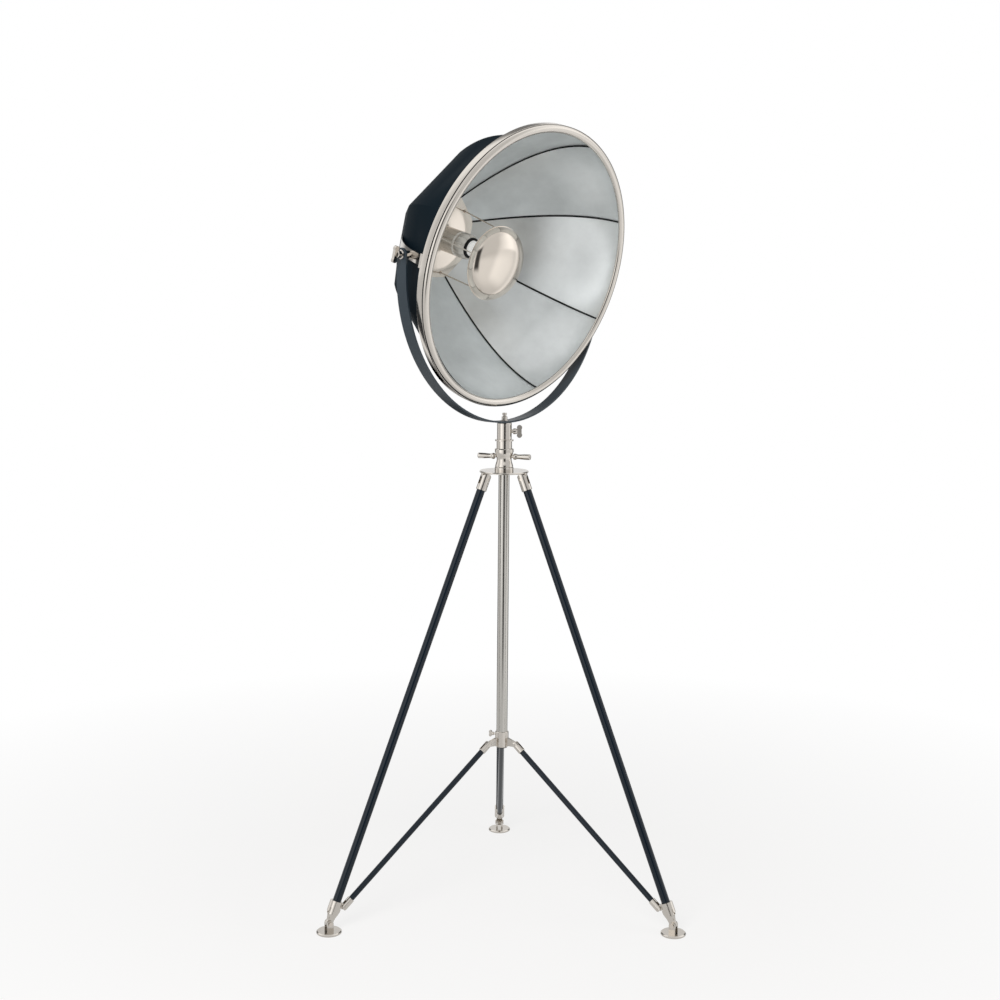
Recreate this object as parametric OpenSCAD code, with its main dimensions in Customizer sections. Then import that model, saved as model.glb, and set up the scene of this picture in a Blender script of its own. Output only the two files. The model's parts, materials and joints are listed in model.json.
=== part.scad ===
// Tripod spotlight floor lamp: a bowl-shaped head in a U yoke, on a nickel mast and a folding tripod.
// Millimetres, +Z up. The origin is on the floor under the column's axis.
// At rest the head faces -Y, and its tilt axis runs along X.

/* [Tripod] */
// Distance of each foot's pin from the column's axis
foot_reach = 440; // [410:5:460]
// Distance of each leg's top pin from the column's axis
leg_top_reach = 50; // [48:1:54]
// Height of the legs' top pins
leg_top_h = 990; // [960:5:1020]
// Direction of the first leg, counted from +X
leg_turn = 42.8; // [30:0.2:55]
// Outer diameter of the leg tubes
leg_tube_d = 19; // [17:0.5:20]
// Wall of the leg tubes
leg_tube_wall = 1.5; // [1:0.1:2.5]
// Outer diameter of the strut tubes
strut_tube_d = 12.7; // [11:0.1:13.5]
// Wall of the strut tubes
strut_tube_wall = 1.2; // [0.8:0.1:2]
// Diameter of the round plate that carries the legs
plate_d = 112; // [106:1:120]
// Thickness of the round plate
plate_t = 4; // [3:0.5:6]
// Diameter of the ferrules at the top of the legs
leg_fork_d = 24; // [23:0.5:24.5]
// Length of the leg ferrules below their pins
leg_fork_len = 27; // [25:1:34]
// Diameter of the pins of the legs and feet
leg_pin_d = 6; // [5:0.5:7]
// Thickness of the tongues that the leg pins pass through
tongue_t = 8; // [6:0.5:9]

/* [Leg castings] */
// Outer diameter of the socket that holds a leg tube
socket_d = 25.4; // [24.5:0.1:27]
// Distance of the socket's mouth from the foot's pin
socket_top = 52; // [48:1:58]
// Depth of the leg tube in the socket
socket_depth = 24; // [18:1:27]
// Distance of the strut's lower pin above the foot's pin, along the leg
ear_along = 42.8; // [40:0.2:46]
// Distance of the strut's lower pin inward from the leg's axis
ear_inward = 22.7; // [22:0.1:25]
// Radius of the casting's ear at the strut's pin
ear_r = 6.5; // [6:0.1:7]
// Width of the raised pad on the outer side of the casting
pad_w = 11; // [8:0.5:13]

/* [Feet] */
// Diameter of a foot
foot_d = 56; // [50:1:64]
// Thickness of a foot's disc
foot_t = 6; // [5:0.5:8]
// Height of the foot's pin above the floor
foot_pin_h = 22; // [20:0.5:25]

/* [Stretcher hub] */
// Height of the middle of the sliding hub
hub_mid_h = 380; // [370:1:395]
// Height of the hub's collar
hub_h = 36; // [32:1:42]
// Outer diameter of the hub's collar
hub_d = 31; // [30:0.2:32]
// Distance of the struts' upper pins from the column's axis
hub_ear_reach = 37; // [36:0.5:40]
// Depth of the struts' upper pins below the middle of the hub
hub_ear_drop = 9; // [7:0.5:11]
// Outer diameter of the ferrules on the struts
strut_fork_d = 16.5; // [15.5:0.1:17]
// Length of the strut ferrules from their pins
strut_fork_len = 22; // [22:0.5:26]
// Thickness of the ears between the strut forks
strut_ear_t = 5; // [4:0.2:6]
// Diameter of the strut pins
strut_pin_d = 5; // [4:0.2:5.5]

/* [Column and clamp] */
// Outer diameter of the column
column_d = 25.4; // [25:0.1:26]
// Wall of the column
column_wall = 1.6; // [1.2:0.1:2]
// Diameter of the clamp's base ring
clamp_d = 43; // [41:0.5:46]
// Height of the clamp's base ring above the plate
clamp_base_h = 9; // [7:0.5:12]
// Height of the clamp nut
clamp_nut_h = 41; // [38:1:46]
// How far the nut's waist is drawn in
clamp_waist = 3.5; // [2:0.25:4]
// Reach of the clamp's two handles from the axis
handle_reach = 62; // [55:1:72]
// Direction of the handles, counted from +X
handle_turn = -63; // [-90:1:-40]

/* [Mast and yoke] */
// Length of the mast tube that stays in the column
mast_in_column = 560; // [450:10:600]
// Diameter of the socket on top of the mast
mast_socket_d = 33.5; // [32:0.5:36]
// Height of the socket above its ring
mast_socket_h = 37; // [34:1:42]
// Diameter of the stud that the yoke turns on
spigot_d = 16; // [14:0.5:18]
// Direction of the wing screw, counted from +X
wing_turn = -52; // [-80:1:-30]
// Length of the yoke's straight arms, from the end of the bend to the tilt axis
arm_straight = 45.6; // [40:0.2:62]
// Width of the yoke's flat bar
strap_w = 28; // [24:1:32]
// Thickness of the yoke's flat bar
strap_t = 4; // [3:0.5:5]

/* [Head] */
// Tilt of the head at rest, forward and down
head_tilt = 15.4; // [0:0.2:30]
// Outer radius of the nickel ring at the mouth
rim_r = 317; // [305:1:325]
// Clear space between the ring and the yoke's arms
rim_gap = 2; // [2:0.5:6]
// Distance of the mouth in front of the tilt axis
rim_ahead = 73; // [68:1:78]
// Distance of the bowl's axis below the tilt axis
bowl_drop = 8; // [0:0.5:10]
// Radial width of the mouth ring's face
rim_face = 18; // [16:0.5:20]
// Depth of the band behind the mouth ring
rim_band_h = 16; // [14:0.5:20]
// Depth of the reflector, from the mouth to its centre plate
bowl_depth = 280; // [265:1:290]
// Radius of the reflector at its centre plate
centre_r = 103; // [95:1:110]
// Distance of the crease around the shell in front of the reflector's centre plate
crease_ahead = 90; // [84:1:96]
// Radius of the shell's corners at the crease
crease_r = 228; // [222:1:232]
// Distance of the shell's flat back behind the reflector's centre plate
back_gap = 13; // [10:0.5:18]
// Radius of the shell's corners at its flat back
back_r = 124; // [118:1:130]
// Wall of the outer shell
shell_t = 1.5; // [1.2:0.1:2.5]
// Thickness of the reflector's petals
petal_t = 1; // [0.8:0.1:1.5]
// Width of the dark ribs between the petals
rib_w = 4; // [3.6:0.2:6]

/* [Lamp] */
// Diameter of the lampholder
holder_d = 58; // [52:1:64]
// Depth of the lampholder's front face behind the mouth
holder_face = 182; // [175:1:190]
// Diameter of the bulb's globe
bulb_d = 62; // [55:1:68]
// Radius of the polished dome in front of the bulb
dome_r = 76; // [70:1:80]
// Width of the rolled lip around the dome
dome_lip = 5; // [3:0.5:7]
// Depth of the dome's lip behind the mouth
dome_depth = 106; // [95:1:115]
// Height of the dome over its lip
dome_rise = 38; // [30:1:44]
// Distance of the dome's middle below the bowl's axis
dome_drop = 5; // [0:0.5:8]

/* [Pivot fittings] */
// Width of the bowed strips that carry the head
bow_w = 22; // [18:1:26]
// Thickness of the bowed strips
bow_t = 3; // [2.5:0.5:4]
// Diameter of the tilt studs
stud_d = 10; // [8:0.5:12]
// Diameter of the bosses between the strips and the yoke
boss_d = 17; // [15:0.5:20]

/* [Hidden] */

$fn = 48;
run_gap = 0.05;      // radial clearance of pins and sliding tubes
side_gap = 0.3;      // clearance beside parts that move against each other
over = 1;            // how far a cutter reaches past a face

// Finishes
nickel = "#d9cbc2";
bright_nickel = "#e6e2dc";
satin_silver = "#c6cccd";
black_steel = "#20262b";
shell_black = "#151f26";
column_steel = "#b5afa8";
lamp_white = "#f4f1ea";
insulator_black = "#17181a";

// Leg geometry, worked out in the plane of a leg as [reach, height]
leg_run = foot_reach - leg_top_reach;
leg_drop = leg_top_h - foot_pin_h;
leg_lean = atan2(leg_run, leg_drop);
leg_len = norm([leg_run, leg_drop]);
ear_reach = foot_reach - ear_along * sin(leg_lean) - ear_inward * cos(leg_lean);
ear_h = foot_pin_h + ear_along * cos(leg_lean) - ear_inward * sin(leg_lean);
hub_ear_h = hub_mid_h - hub_ear_drop;
strut_run = ear_reach - hub_ear_reach;
strut_rise = hub_ear_h - ear_h;
strut_angle = atan2(strut_rise, strut_run);
strut_len = norm([strut_run, strut_rise]);
strut_seat = 1.2;    // depth of a strut tube in its ferrules
upper_slot = strut_fork_len - strut_seat - 1;

// Heights of the stack on the column
plate_top = leg_top_h + leg_fork_d / 2 + 0.5 + plate_t;
plate_under = plate_top - plate_t;
clamp_base_top = plate_top + clamp_base_h;
nut_bottom = clamp_base_top + side_gap;
nut_top = nut_bottom + clamp_nut_h;
collar_low_h = 16;
collar_ring_h = 5;
mast_rest = nut_top + side_gap;
mast_ring_h = mast_rest + collar_low_h;
mast_socket_low = mast_ring_h + collar_ring_h;
mast_socket_top = mast_socket_low + mast_socket_h;
hub_low = hub_mid_h - hub_h / 2;
hub_top = hub_mid_h + hub_h / 2;
column_low = hub_low;

// Clamp and mast
bore_in_column = column_d - 2 * column_wall;
mast_d = bore_in_column - 2 * run_gap;
mast_bore = mast_d - 4;
neck_d = clamp_d - 10;
neck_h = 14;
handle_root_d = 6;
handle_h = nut_bottom + 23;
spigot_depth = 30;
wing_h = mast_socket_low + mast_socket_h * 0.48;
wing_screw_d = 8;
hub_screw_turn = 115;
hub_screw_h = hub_mid_h + 10;
hub_screw_d = 5;

// Yoke
strap_in = rim_r + rim_gap;
strap_mid = strap_in + strap_t / 2;
strap_out = strap_in + strap_t;
strap_low = mast_socket_top + side_gap;
arc_mid_h = strap_low + strap_out;
pivot_h = arc_mid_h + arm_straight;
yoke_stud_d = 8;

// Bowl surfaces: radius of the eight corners at a depth behind the mouth
crease_depth = bowl_depth - crease_ahead;
back_depth = bowl_depth + back_gap;
bowl_mouth_r = rim_r - rim_face + 3;
bowl_lead = 0.12;
bowl_bend = (bowl_mouth_r - centre_r - bowl_lead * bowl_depth) / pow(bowl_depth, 2);
shell_mouth_r = bowl_mouth_r + 4;
shell_lead = 0.05;
shell_bend = (shell_mouth_r - crease_r - shell_lead * crease_depth) / pow(crease_depth, 2);
corner_depth = 110;  // depth at which the round mouth has turned fully eight-sided
flat_half = 22.5;    // half the angle of one of the eight sides
bowl_rows = 10;
petal_columns = 6;
shell_columns = 6;
shell_front = 0;
plate_seat = 1.2;

function smooth(u) = let (c = max(0, min(1, u))) c * c * (3 - 2 * c);
function bowl_r(s) = bowl_mouth_r - bowl_lead * s - bowl_bend * s * s;
function shell_r(s) = s < crease_depth ? shell_mouth_r - shell_lead * s - shell_bend * s * s
    : crease_r - (crease_r - back_r) * (s - crease_depth) / (back_depth - crease_depth);
// Share of the corner radius left at an angle counted from straight up, at a depth
function side_share(a, s) = let (w = smooth(s / corner_depth), f = (a + 720 + flat_half) % (2 * flat_half)
    - flat_half) 1 - w + w * cos(flat_half) / cos(f);
function polar(r, a, s) = [r * sin(a), r * cos(a), -s];

// ---- Placing ----

module at_leg(k) rotate([0, 0, leg_turn + 120 * (k - 1)]) children();

// Origin on the leg's top pin, +X outward across the leg, +Z back up the leg
module along_leg(k) at_leg(k) translate([leg_top_reach, 0, leg_top_h]) rotate([0, -leg_lean, 0]) children();

// Origin on the foot's pin, in the leg's directions
module at_foot_pin(k) along_leg(k) translate([0, 0, -leg_len]) children();

// Origin on the strut's lower pin, +Z up the strut
module along_strut(k) at_leg(k) translate([ear_reach, 0, ear_h]) rotate([0, strut_angle - 90, 0]) children();

// Origin at the middle of the mouth, +Z forward out of the bowl, +Y towards the top of the head
module in_head() translate([0, 0, pivot_h]) rotate([90 + head_tilt, 0, 0])
    translate([0, -bowl_drop, rim_ahead]) children();

// Origin on the tilt axis, in the head's directions
module on_tilt_axis() translate([0, 0, pivot_h]) rotate([90 + head_tilt, 0, 0]) children();

module pin_y(d, l) rotate([90, 0, 0]) cylinder(d = d, h = l, center = true);

module tube(d, wall, h) difference() {
    cylinder(d = d, h = h);
    translate([0, 0, -over]) cylinder(d = d - 2 * wall, h = h + 2 * over);
}

// ---- Tripod top ----

lug_w = leg_fork_d * 0.66;
module tripod_plate() color(nickel) difference() {
    union() {
        rotate_extrude() polygon([[0, plate_under], [plate_d / 2 - 1.5, plate_under],
            [plate_d / 2, plate_under + 1.2], [plate_d / 2, plate_top - 1.5],
            [plate_d / 2 - 1.5, plate_top], [0, plate_top]]);
        for (k = [1:3]) at_leg(k) leg_lug();
    }
    translate([0, 0, plate_under - over]) cylinder(d = column_d, h = plate_t + 2 * over);
    for (k = [1:3]) at_leg(k) translate([leg_top_reach, 0, leg_top_h]) pin_y(leg_pin_d, 2 * tongue_t);
}

module leg_lug() translate([leg_top_reach, 0, leg_top_h]) {
    rotate([90, 0, 0]) cylinder(d = lug_w, h = tongue_t, center = true);
    translate([-lug_w / 2, -tongue_t / 2, 0]) cube([lug_w, tongue_t, plate_under - leg_top_h + plate_t / 2]);
}

module leg_hinge_pins() color(bright_nickel) for (k = [1:3]) at_leg(k)
    translate([leg_top_reach, 0, leg_top_h]) pin_y(leg_pin_d, leg_fork_d - 0.6);

module column_tube() color(column_steel) translate([0, 0, column_low])
    tube(column_d, column_wall, clamp_base_top - column_low);

module column_plug() color(insulator_black) {
    translate([0, 0, column_low - 2]) cylinder(d = column_d, h = 2);
    translate([0, 0, column_low - over]) cylinder(d = bore_in_column, h = 12);
}

// ---- Column clamp ----

module clamp_base() color(nickel) difference() {
    rotate_extrude() polygon([[column_d / 2, plate_top], [clamp_d / 2, plate_top],
        [clamp_d / 2, clamp_base_top - 1.5], [clamp_d / 2 - 1.5, clamp_base_top],
        [neck_d / 2, clamp_base_top], [neck_d / 2, clamp_base_top + neck_h],
        [mast_d / 2 + 1, clamp_base_top + neck_h], [mast_d / 2 + 1, clamp_base_top + 0.01],
        [column_d / 2, clamp_base_top + 0.01]]);
}

// Split ring that the nut draws down onto the mast
module clamp_collet() color(insulator_black) translate([0, 0, clamp_base_top + neck_h]) difference() {
    rotate_extrude() polygon([[mast_d / 2 + run_gap, 0], [neck_d / 2 - 1, 0], [neck_d / 2 - 1, 8],
        [mast_d / 2 + 3, 14], [mast_d / 2 + run_gap, 14]]);
    translate([0, -1, -over]) cube([clamp_d, 2, 20]);
}

nut_steps = 12;
module clamp_nut() color(nickel) {
    ring_h = 8;
    waist_top = clamp_nut_h - ring_h;
    wall_r = clamp_d / 2 - 1;
    outline = [for (i = [0:nut_steps]) let (u = i / nut_steps)
        [wall_r - clamp_waist * pow(sin(180 * u), 2), waist_top * u]];
    translate([0, 0, nut_bottom]) difference() {
        rotate_extrude() polygon(concat([[neck_d / 2 + run_gap, 0]], outline,
            [[clamp_d / 2, waist_top], [clamp_d / 2, clamp_nut_h - 1.5], [clamp_d / 2 - 1.5, clamp_nut_h],
            [mast_d / 2 + side_gap, clamp_nut_h], [mast_d / 2 + side_gap, clamp_nut_h - 5],
            [neck_d / 2 + run_gap, neck_h + 14.5]]));
        for (side = [0, 180]) rotate([0, 0, handle_turn + side])
            translate([neck_d / 2 - over, 0, handle_h - nut_bottom]) rotate([0, 90, 0])
                cylinder(d = handle_root_d, h = clamp_d);
    }
}

module clamp_handles() color(nickel) for (side = [0, 180])
    rotate([0, 0, handle_turn + side]) translate([0, 0, handle_h]) rotate([0, 90, 0]) clamp_handle();

module clamp_handle() {
    root = neck_d / 2 + 0.2;
    root_r = handle_root_d / 2;
    neck = clamp_d / 2 - 0.5;
    bulge_r = 7;
    grip_r = 4.9;
    rotate_extrude() polygon([[0, root], [root_r, root], [root_r, neck], [5.5, neck + 0.6],
        [bulge_r, neck + 3.5], [bulge_r, neck + 6.5], [5.6, neck + 10], [grip_r, neck + 14],
        [grip_r, handle_reach - 10], [5.5, handle_reach - 2.5], [4.2, handle_reach], [0, handle_reach]]);
}

// ---- Mast ----

module mast_tube() color(nickel) translate([0, 0, mast_rest - mast_in_column])
    tube(mast_d, (mast_d - mast_bore) / 2, mast_in_column + collar_low_h + collar_ring_h);

module mast_socket() color(nickel) difference() {
    wall_r = mast_socket_d / 2;
    low_r = wall_r + 0.9;
    ring_r = wall_r + 4.2;
    rotate_extrude() polygon([[0, mast_rest], [low_r, mast_rest], [low_r, mast_ring_h],
        [ring_r, mast_ring_h + 0.8], [ring_r, mast_socket_low - 0.8], [wall_r, mast_socket_low],
        [wall_r, mast_socket_top - 1], [wall_r - 1, mast_socket_top], [0, mast_socket_top]]);
    translate([0, 0, mast_rest - over]) cylinder(d = mast_d, h = collar_low_h + collar_ring_h + over);
    translate([0, 0, mast_socket_top - spigot_depth])
        cylinder(d = spigot_d + 2 * run_gap, h = spigot_depth + over);
    rotate([0, 0, wing_turn]) translate([0, 0, wing_h]) rotate([0, 90, 0])
        cylinder(d = wing_screw_d + 2 * run_gap, h = mast_socket_d);
}

// A thumb screw along +Z with its tip at the origin: shank, barrel and an oval cross wing
module thumb_screw(shank_d, shank_l, barrel_d, barrel_l, wing_l, wing_w, wing_t) {
    cylinder(d = shank_d, h = shank_l);
    barrel_r = barrel_d / 2;
    translate([0, 0, shank_l]) rotate_extrude() polygon([[0, -0.01], [barrel_r - 0.8, -0.01],
        [barrel_r, 0.8], [barrel_r, barrel_l * 0.6], [barrel_r * 0.72, barrel_l], [0, barrel_l]]);
    translate([0, 0, shank_l + barrel_l + wing_w / 2 - 1.5]) rotate([90, 0, 0])
        oval_wing(wing_l, wing_w, wing_t);
}

// An oval plate with round ends, standing along X
module oval_wing(l, w, t) {
    for (side = [-1, 1]) translate([side * (l - w) / 2, 0, 0]) cylinder(d = w, h = t, center = true);
    cube([l - w, w * 0.78, t], center = true);
}

module wing_screw() color(nickel) rotate([0, 0, wing_turn]) translate([spigot_d / 2 + side_gap, 0, wing_h])
    rotate([0, 90, 0])
    thumb_screw(wing_screw_d, mast_socket_d / 2 + 3 - spigot_d / 2 - side_gap, 13, 10, 29, 12, 6);

// ---- Yoke ----

module yoke_strap() color(black_steel) difference() {
    union() {
        translate([0, 0, arc_mid_h]) rotate([90, 0, 0]) translate([0, 0, -strap_w / 2]) difference() {
            cylinder(r = strap_out, h = strap_w, $fn = 160);
            translate([0, 0, -over]) cylinder(r = strap_in, h = strap_w + 2 * over, $fn = 160);
            translate([-strap_out - over, 0, -over])
                cube([2 * (strap_out + over), strap_out + over, strap_w + 2 * over]);
        }
        for (side = [-1, 1]) {
            translate([side * strap_mid, 0, (arc_mid_h + pivot_h) / 2])
                cube([strap_t, strap_w, pivot_h - arc_mid_h], center = true);
            translate([side * strap_mid, 0, pivot_h]) rotate([0, 90, 0])
                cylinder(d = strap_w, h = strap_t, center = true);
        }
    }
    for (side = [-1, 1]) translate([side * strap_mid, 0, pivot_h]) rotate([0, 90, 0])
        cylinder(d = stud_d + 2 * run_gap, h = strap_t + 2 * over, center = true);
    translate([0, 0, strap_low - over]) cylinder(d = yoke_stud_d, h = strap_t + 3 * over);
}

module yoke_spigot() color(nickel) {
    translate([0, 0, mast_socket_top - spigot_depth + side_gap]) cylinder(d = spigot_d, h = spigot_depth);
    translate([0, 0, strap_low - 0.5]) cylinder(d = yoke_stud_d, h = strap_t + 9.5);
}

module yoke_top_screw() color(nickel) translate([0, 0, strap_low + strap_t + 0.12]) difference() {
    rotate_extrude() polygon([[0, 0], [8.5, 0], [8.5, 1.6], [6.5, 1.6], [6.5, 9.5], [3.6, 10.5], [3.6, 12],
        [5.2, 12.6], [5.2, 17], [4.2, 18], [0, 18]]);
    translate([0, 0, -over]) cylinder(d = yoke_stud_d, h = 9 + over);
}

// ---- Head: shell and reflector ----

function shell_depths(first, last) =
    concat([for (i = [0:bowl_rows]) first + (crease_depth - first) * i / bowl_rows], [last]);

// Closed skin between two stacks of rings that run round the bowl; each ring is a list of points
module ring_stack(rings) {
    n = len(rings[0]);
    m = len(rings);
    points = [for (r = rings) for (p = r) p];
    edges = [for (i = [0:m - 2]) for (j = [0:n - 1]) [i * n + j, i * n + (j + 1) % n]];
    faces = concat(
        [for (e = edges) [e[0], e[1], e[1] + n]],
        [for (e = edges) [e[0], e[1] + n, e[0] + n]],
        [[for (j = [n - 1:-1:0]) j]],
        [[for (j = [0:n - 1]) (m - 1) * n + j]]);
    polyhedron(points, faces);
}

shell_count = 8 * shell_columns;
function shell_ring(s, inset) = [for (j = [0:shell_count - 1]) let (a = flat_half - j * 360 / shell_count)
    polar((shell_r(s) - inset) * side_share(a, s), a, s)];

module shell_solid(inset, first, last) ring_stack([for (s = shell_depths(first, last)) shell_ring(s, inset)]);

module outer_shell() color(shell_black) in_head() difference() {
    shell_solid(0, shell_front, back_depth);
    shell_solid(shell_t, shell_front - over, back_depth - shell_t);
    translate([0, 0, -back_depth - over]) cylinder(d = holder_d, h = 3 * over + shell_t);
}

// One petal: front and back faces between two seams
function petal_point(u, s, lift, half) =
    let (edge = asin(min(1, half / bowl_r(s))), a = (2 * u - 1) * (flat_half - edge))
    polar((bowl_r(s) + lift) * side_share(a, s), a, s);

module bowed_patch(rows, columns, first, last, lift_in, lift_out, half) {
    n = columns + 1;
    depths = [for (i = [0:rows]) first + (last - first) * i / rows];
    inner = [for (s = depths) for (j = [0:columns]) petal_point(j / columns, s, lift_in, half)];
    outer = [for (s = depths) for (j = [0:columns]) petal_point(j / columns, s, lift_out, half)];
    m = len(inner);
    border = concat([for (j = [0:columns]) j], [for (i = [1:rows]) i * n + columns],
        [for (j = [columns - 1:-1:0]) rows * n + j], [for (i = [rows - 1:-1:1]) i * n]);
    edges = [for (i = [0:len(border) - 1]) [border[i], border[(i + 1) % len(border)]]];
    cells = [for (i = [0:rows - 1]) for (j = [0:columns - 1]) i * n + j];
    faces = concat(
        [for (a = cells) [a, a + 1, a + n + 1]],
        [for (a = cells) [a, a + n + 1, a + n]],
        [for (a = cells) [m + a, m + a + n + 1, m + a + 1]],
        [for (a = cells) [m + a, m + a + n, m + a + n + 1]],
        [for (e = edges) [e[0], e[0] + m, e[1] + m]],
        [for (e = edges) [e[0], e[1] + m, e[1]]]);
    polyhedron(concat(inner, outer), faces);
}

petal_front = 0;
module reflector_petals() color(satin_silver) in_head() for (k = [0:7]) rotate([0, 0, 2 * flat_half * k])
    bowed_patch(bowl_rows, petal_columns, petal_front, bowl_depth, 0, petal_t, rib_w / 2 - 1);

// Dark ribs over the seams, each a T-section bar keyed between two petals
rib_in = 2;
rib_lift = 1.3;
module seam_ribs() color(insulator_black) in_head() for (k = [0:7])
    rotate([0, 0, flat_half * (2 * k + 1)]) seam_rib();

module seam_rib() {
    depths = [for (i = [0:bowl_rows]) petal_front + (bowl_depth - petal_front) * i / bowl_rows];
    ring_stack([for (s = depths) let (r = bowl_r(s), half = rib_w / 2,
        low = r - rib_lift, key = half - 1.1, root = low + 0.45)
        [[-half, low, -s], [-half, low - rib_in, -s], [half, low - rib_in, -s], [half, low, -s],
        [key, root, -s], [key, r + petal_t, -s], [-key, r + petal_t, -s], [-key, root, -s]]]);
}

plate_dish = 6;
plate_dish_r = 40;
plate_flat_r = 78;
module centre_plate() color(bright_nickel) in_head() translate([0, 0, -bowl_depth])
    rotate_extrude($fn = 96) polygon([[holder_d / 2, -plate_dish], [plate_dish_r, -plate_dish],
        [plate_flat_r, 0], [centre_r + 2, 0], [centre_r + 2, -plate_seat], [plate_flat_r, -plate_seat],
        [plate_dish_r, -plate_dish - plate_seat], [holder_d / 2, -plate_dish - plate_seat]]);

// ---- Head: mouth ring ----

module rim_ring() color(nickel) in_head() rotate_extrude($fn = 160) polygon(concat(
    [for (i = [0:12]) let (a = 180 * i / 12) [rim_r - rim_face / 2 + rim_face / 2 * cos(a), 7 * sin(a)]]));

groove = 3.5;
module rim_gasket() color(insulator_black) in_head() rotate_extrude($fn = 160)
    polygon([[shell_mouth_r + 1, 0], [rim_r - 1.5, 0], [rim_r - 1.5, -groove], [shell_mouth_r + 1, -groove]]);

band_back = groove + rim_band_h;
band_t = 1.8;
module rim_band() color(nickel) in_head() rotate_extrude($fn = 160) polygon([[rim_r - band_t, -groove],
    [rim_r - 0.6, -groove], [rim_r, -groove - 0.8], [rim_r, 1 - band_back], [rim_r - 1, -band_back],
    [shell_r(band_back) + side_gap, -band_back], [shell_r(band_back) + side_gap, band_t - band_back],
    [rim_r - band_t, band_t - band_back]]);

// ---- Head: back ----

cap_r = 72;
cap_h = 26;
slot_count = 12;
gland_ahead = 15;
module rear_cap() color(shell_black) in_head() translate([0, 0, -back_depth - cap_h]) difference() {
    rotate_extrude($fn = 72) polygon([[0, 0], [cap_r - 14, 0], [cap_r - 5, 3], [cap_r, 10], [cap_r, cap_h],
        [cap_r - 1.5, cap_h], [cap_r - 1.5, 10.6], [cap_r - 5.8, 4.4], [cap_r - 14.2, 1.5], [0, 1.5]]);
    for (k = [0:slot_count - 1]) rotate([0, 0, k * 360 / slot_count])
        translate([30, -2, -over]) cube([20, 4, 2 + over]);
    translate([0, -cap_r + 6, gland_ahead]) rotate([90, 0, 0]) cylinder(d = gland_d, h = 20, center = true);
}

gland_d = 12;
cord_d = 7;
module cable_gland() color(insulator_black) in_head()
    translate([0, -cap_r, gland_ahead - back_depth - cap_h]) rotate([90, 0, 0]) difference() {
    rotate_extrude() polygon([[0, -4], [gland_d / 2, -4], [gland_d / 2, 0.5], [9.5, 0.5], [9.5, 6],
        [7.5, 8], [6.5, 16], [0, 16]]);
    translate([0, 0, -5]) cylinder(d = cord_d, h = 30);
}

// ---- Lamp ----

flange_w = 5;
bulb_seat = 52;
holder_bore_r = 19;
wire_bore_r = 17;
module lampholder() color(nickel) in_head() {
    out = holder_d / 2;
    foot = -bowl_depth - plate_dish;
    seat = -holder_face - bulb_seat;
    rotate_extrude() polygon([[wire_bore_r, -back_depth + over], [out, -back_depth + over], [out, foot],
        [out + flange_w, foot], [out + flange_w, foot + 3], [out + 1, foot + 7], [out, foot + 9],
        [out, -holder_face - 34], [out - 2, -holder_face - 31], [out - 2, -holder_face - 28],
        [out, -holder_face - 25], [out, -holder_face - 8], [out - 5, -holder_face],
        [holder_bore_r, -holder_face], [holder_bore_r, seat], [0, seat], [0, seat - 3],
        [wire_bore_r, seat - 3]]);
}

module holder_ring() color(insulator_black) in_head() translate([0, 0, -holder_face])
    rotate_extrude() polygon([[holder_bore_r - 0.4, 0.01], [holder_d / 2 - 5, 0.01],
        [holder_d / 2 - 5.5, 5], [holder_bore_r - 0.4, 5]]);

module bulb() color(lamp_white) in_head() {
    neck_r = 17.9;
    mid = -dome_depth - 10;
    join = asin(neck_r / (bulb_d / 2));
    base_r = 13;
    seat = -holder_face - bulb_seat;
    globe = [for (i = [0:16]) (180 - join) * (1 - i / 16)];
    rotate_extrude() polygon(concat([[0, seat], [5, seat], [base_r, seat + 4],
        [base_r, -holder_face - 26], [neck_r, -holder_face - 20]],
        [for (a = globe) [bulb_d / 2 * sin(a), mid + bulb_d / 2 * cos(a)]]));
}

dome_t = 1.2;
dome_ball = (pow(dome_r, 2) + pow(dome_rise, 2)) / (2 * dome_rise);
dome_steps = 14;
lip_out = dome_r + dome_lip;
lip_t = 2.4;

// A dome's arc from its lip to its crown, with the crown's height kept at dome_rise less the wall's inset
function dome_arc(ball) = let (half = asin(dome_r / dome_ball)) [for (i = [0:dome_steps])
    let (a = half * (1 - i / dome_steps)) [ball * sin(a), ball * cos(a) - dome_ball + dome_rise]];

module dome_body() {
    inner = dome_arc(dome_ball - dome_t);
    outer = dome_arc(dome_ball);
    translate([0, -dome_drop, -dome_depth]) rotate_extrude($fn = 96)
        polygon(concat([for (i = [dome_steps:-1:0]) outer[i]],
            [[lip_out - 1.5, 0.6], [lip_out, 0], [lip_out, -1.6], [lip_out - 1, -lip_t], [dome_r - 1, -lip_t]],
            [for (i = [0:dome_steps]) inner[i]]));
}

module dome_mirror() color(bright_nickel) in_head() dome_body();

rod_d = 3;
rod_turns = [45, 165, 285];
rod_root_r = 88;
rod_foot_d = 8;
rod_top = -dome_depth - lip_t;
module dome_rods() color(bright_nickel) in_head() for (a = rod_turns) dome_rod(a);

module dome_rod(a) difference() {
    root = [rod_root_r * sin(a), rod_root_r * cos(a), -bowl_depth];
    tip = [(lip_out - 3) * sin(a), (lip_out - 3) * cos(a) - dome_drop, rod_top + over];
    run = tip - root;
    union() {
        translate(root) cylinder(d = rod_foot_d, h = 4);
        translate(root) rotate([0, acos(run[2] / norm(run)), atan2(run[1], run[0])])
            cylinder(d = rod_d, h = norm(run));
    }
    translate([0, 0, rod_top]) cylinder(r = lip_out + rod_foot_d, h = rod_foot_d);
    translate([0, 0, -bowl_depth - 5]) cylinder(r = rod_root_r + rod_foot_d, h = 5);
}

// ---- Tilt fittings ----

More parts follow.
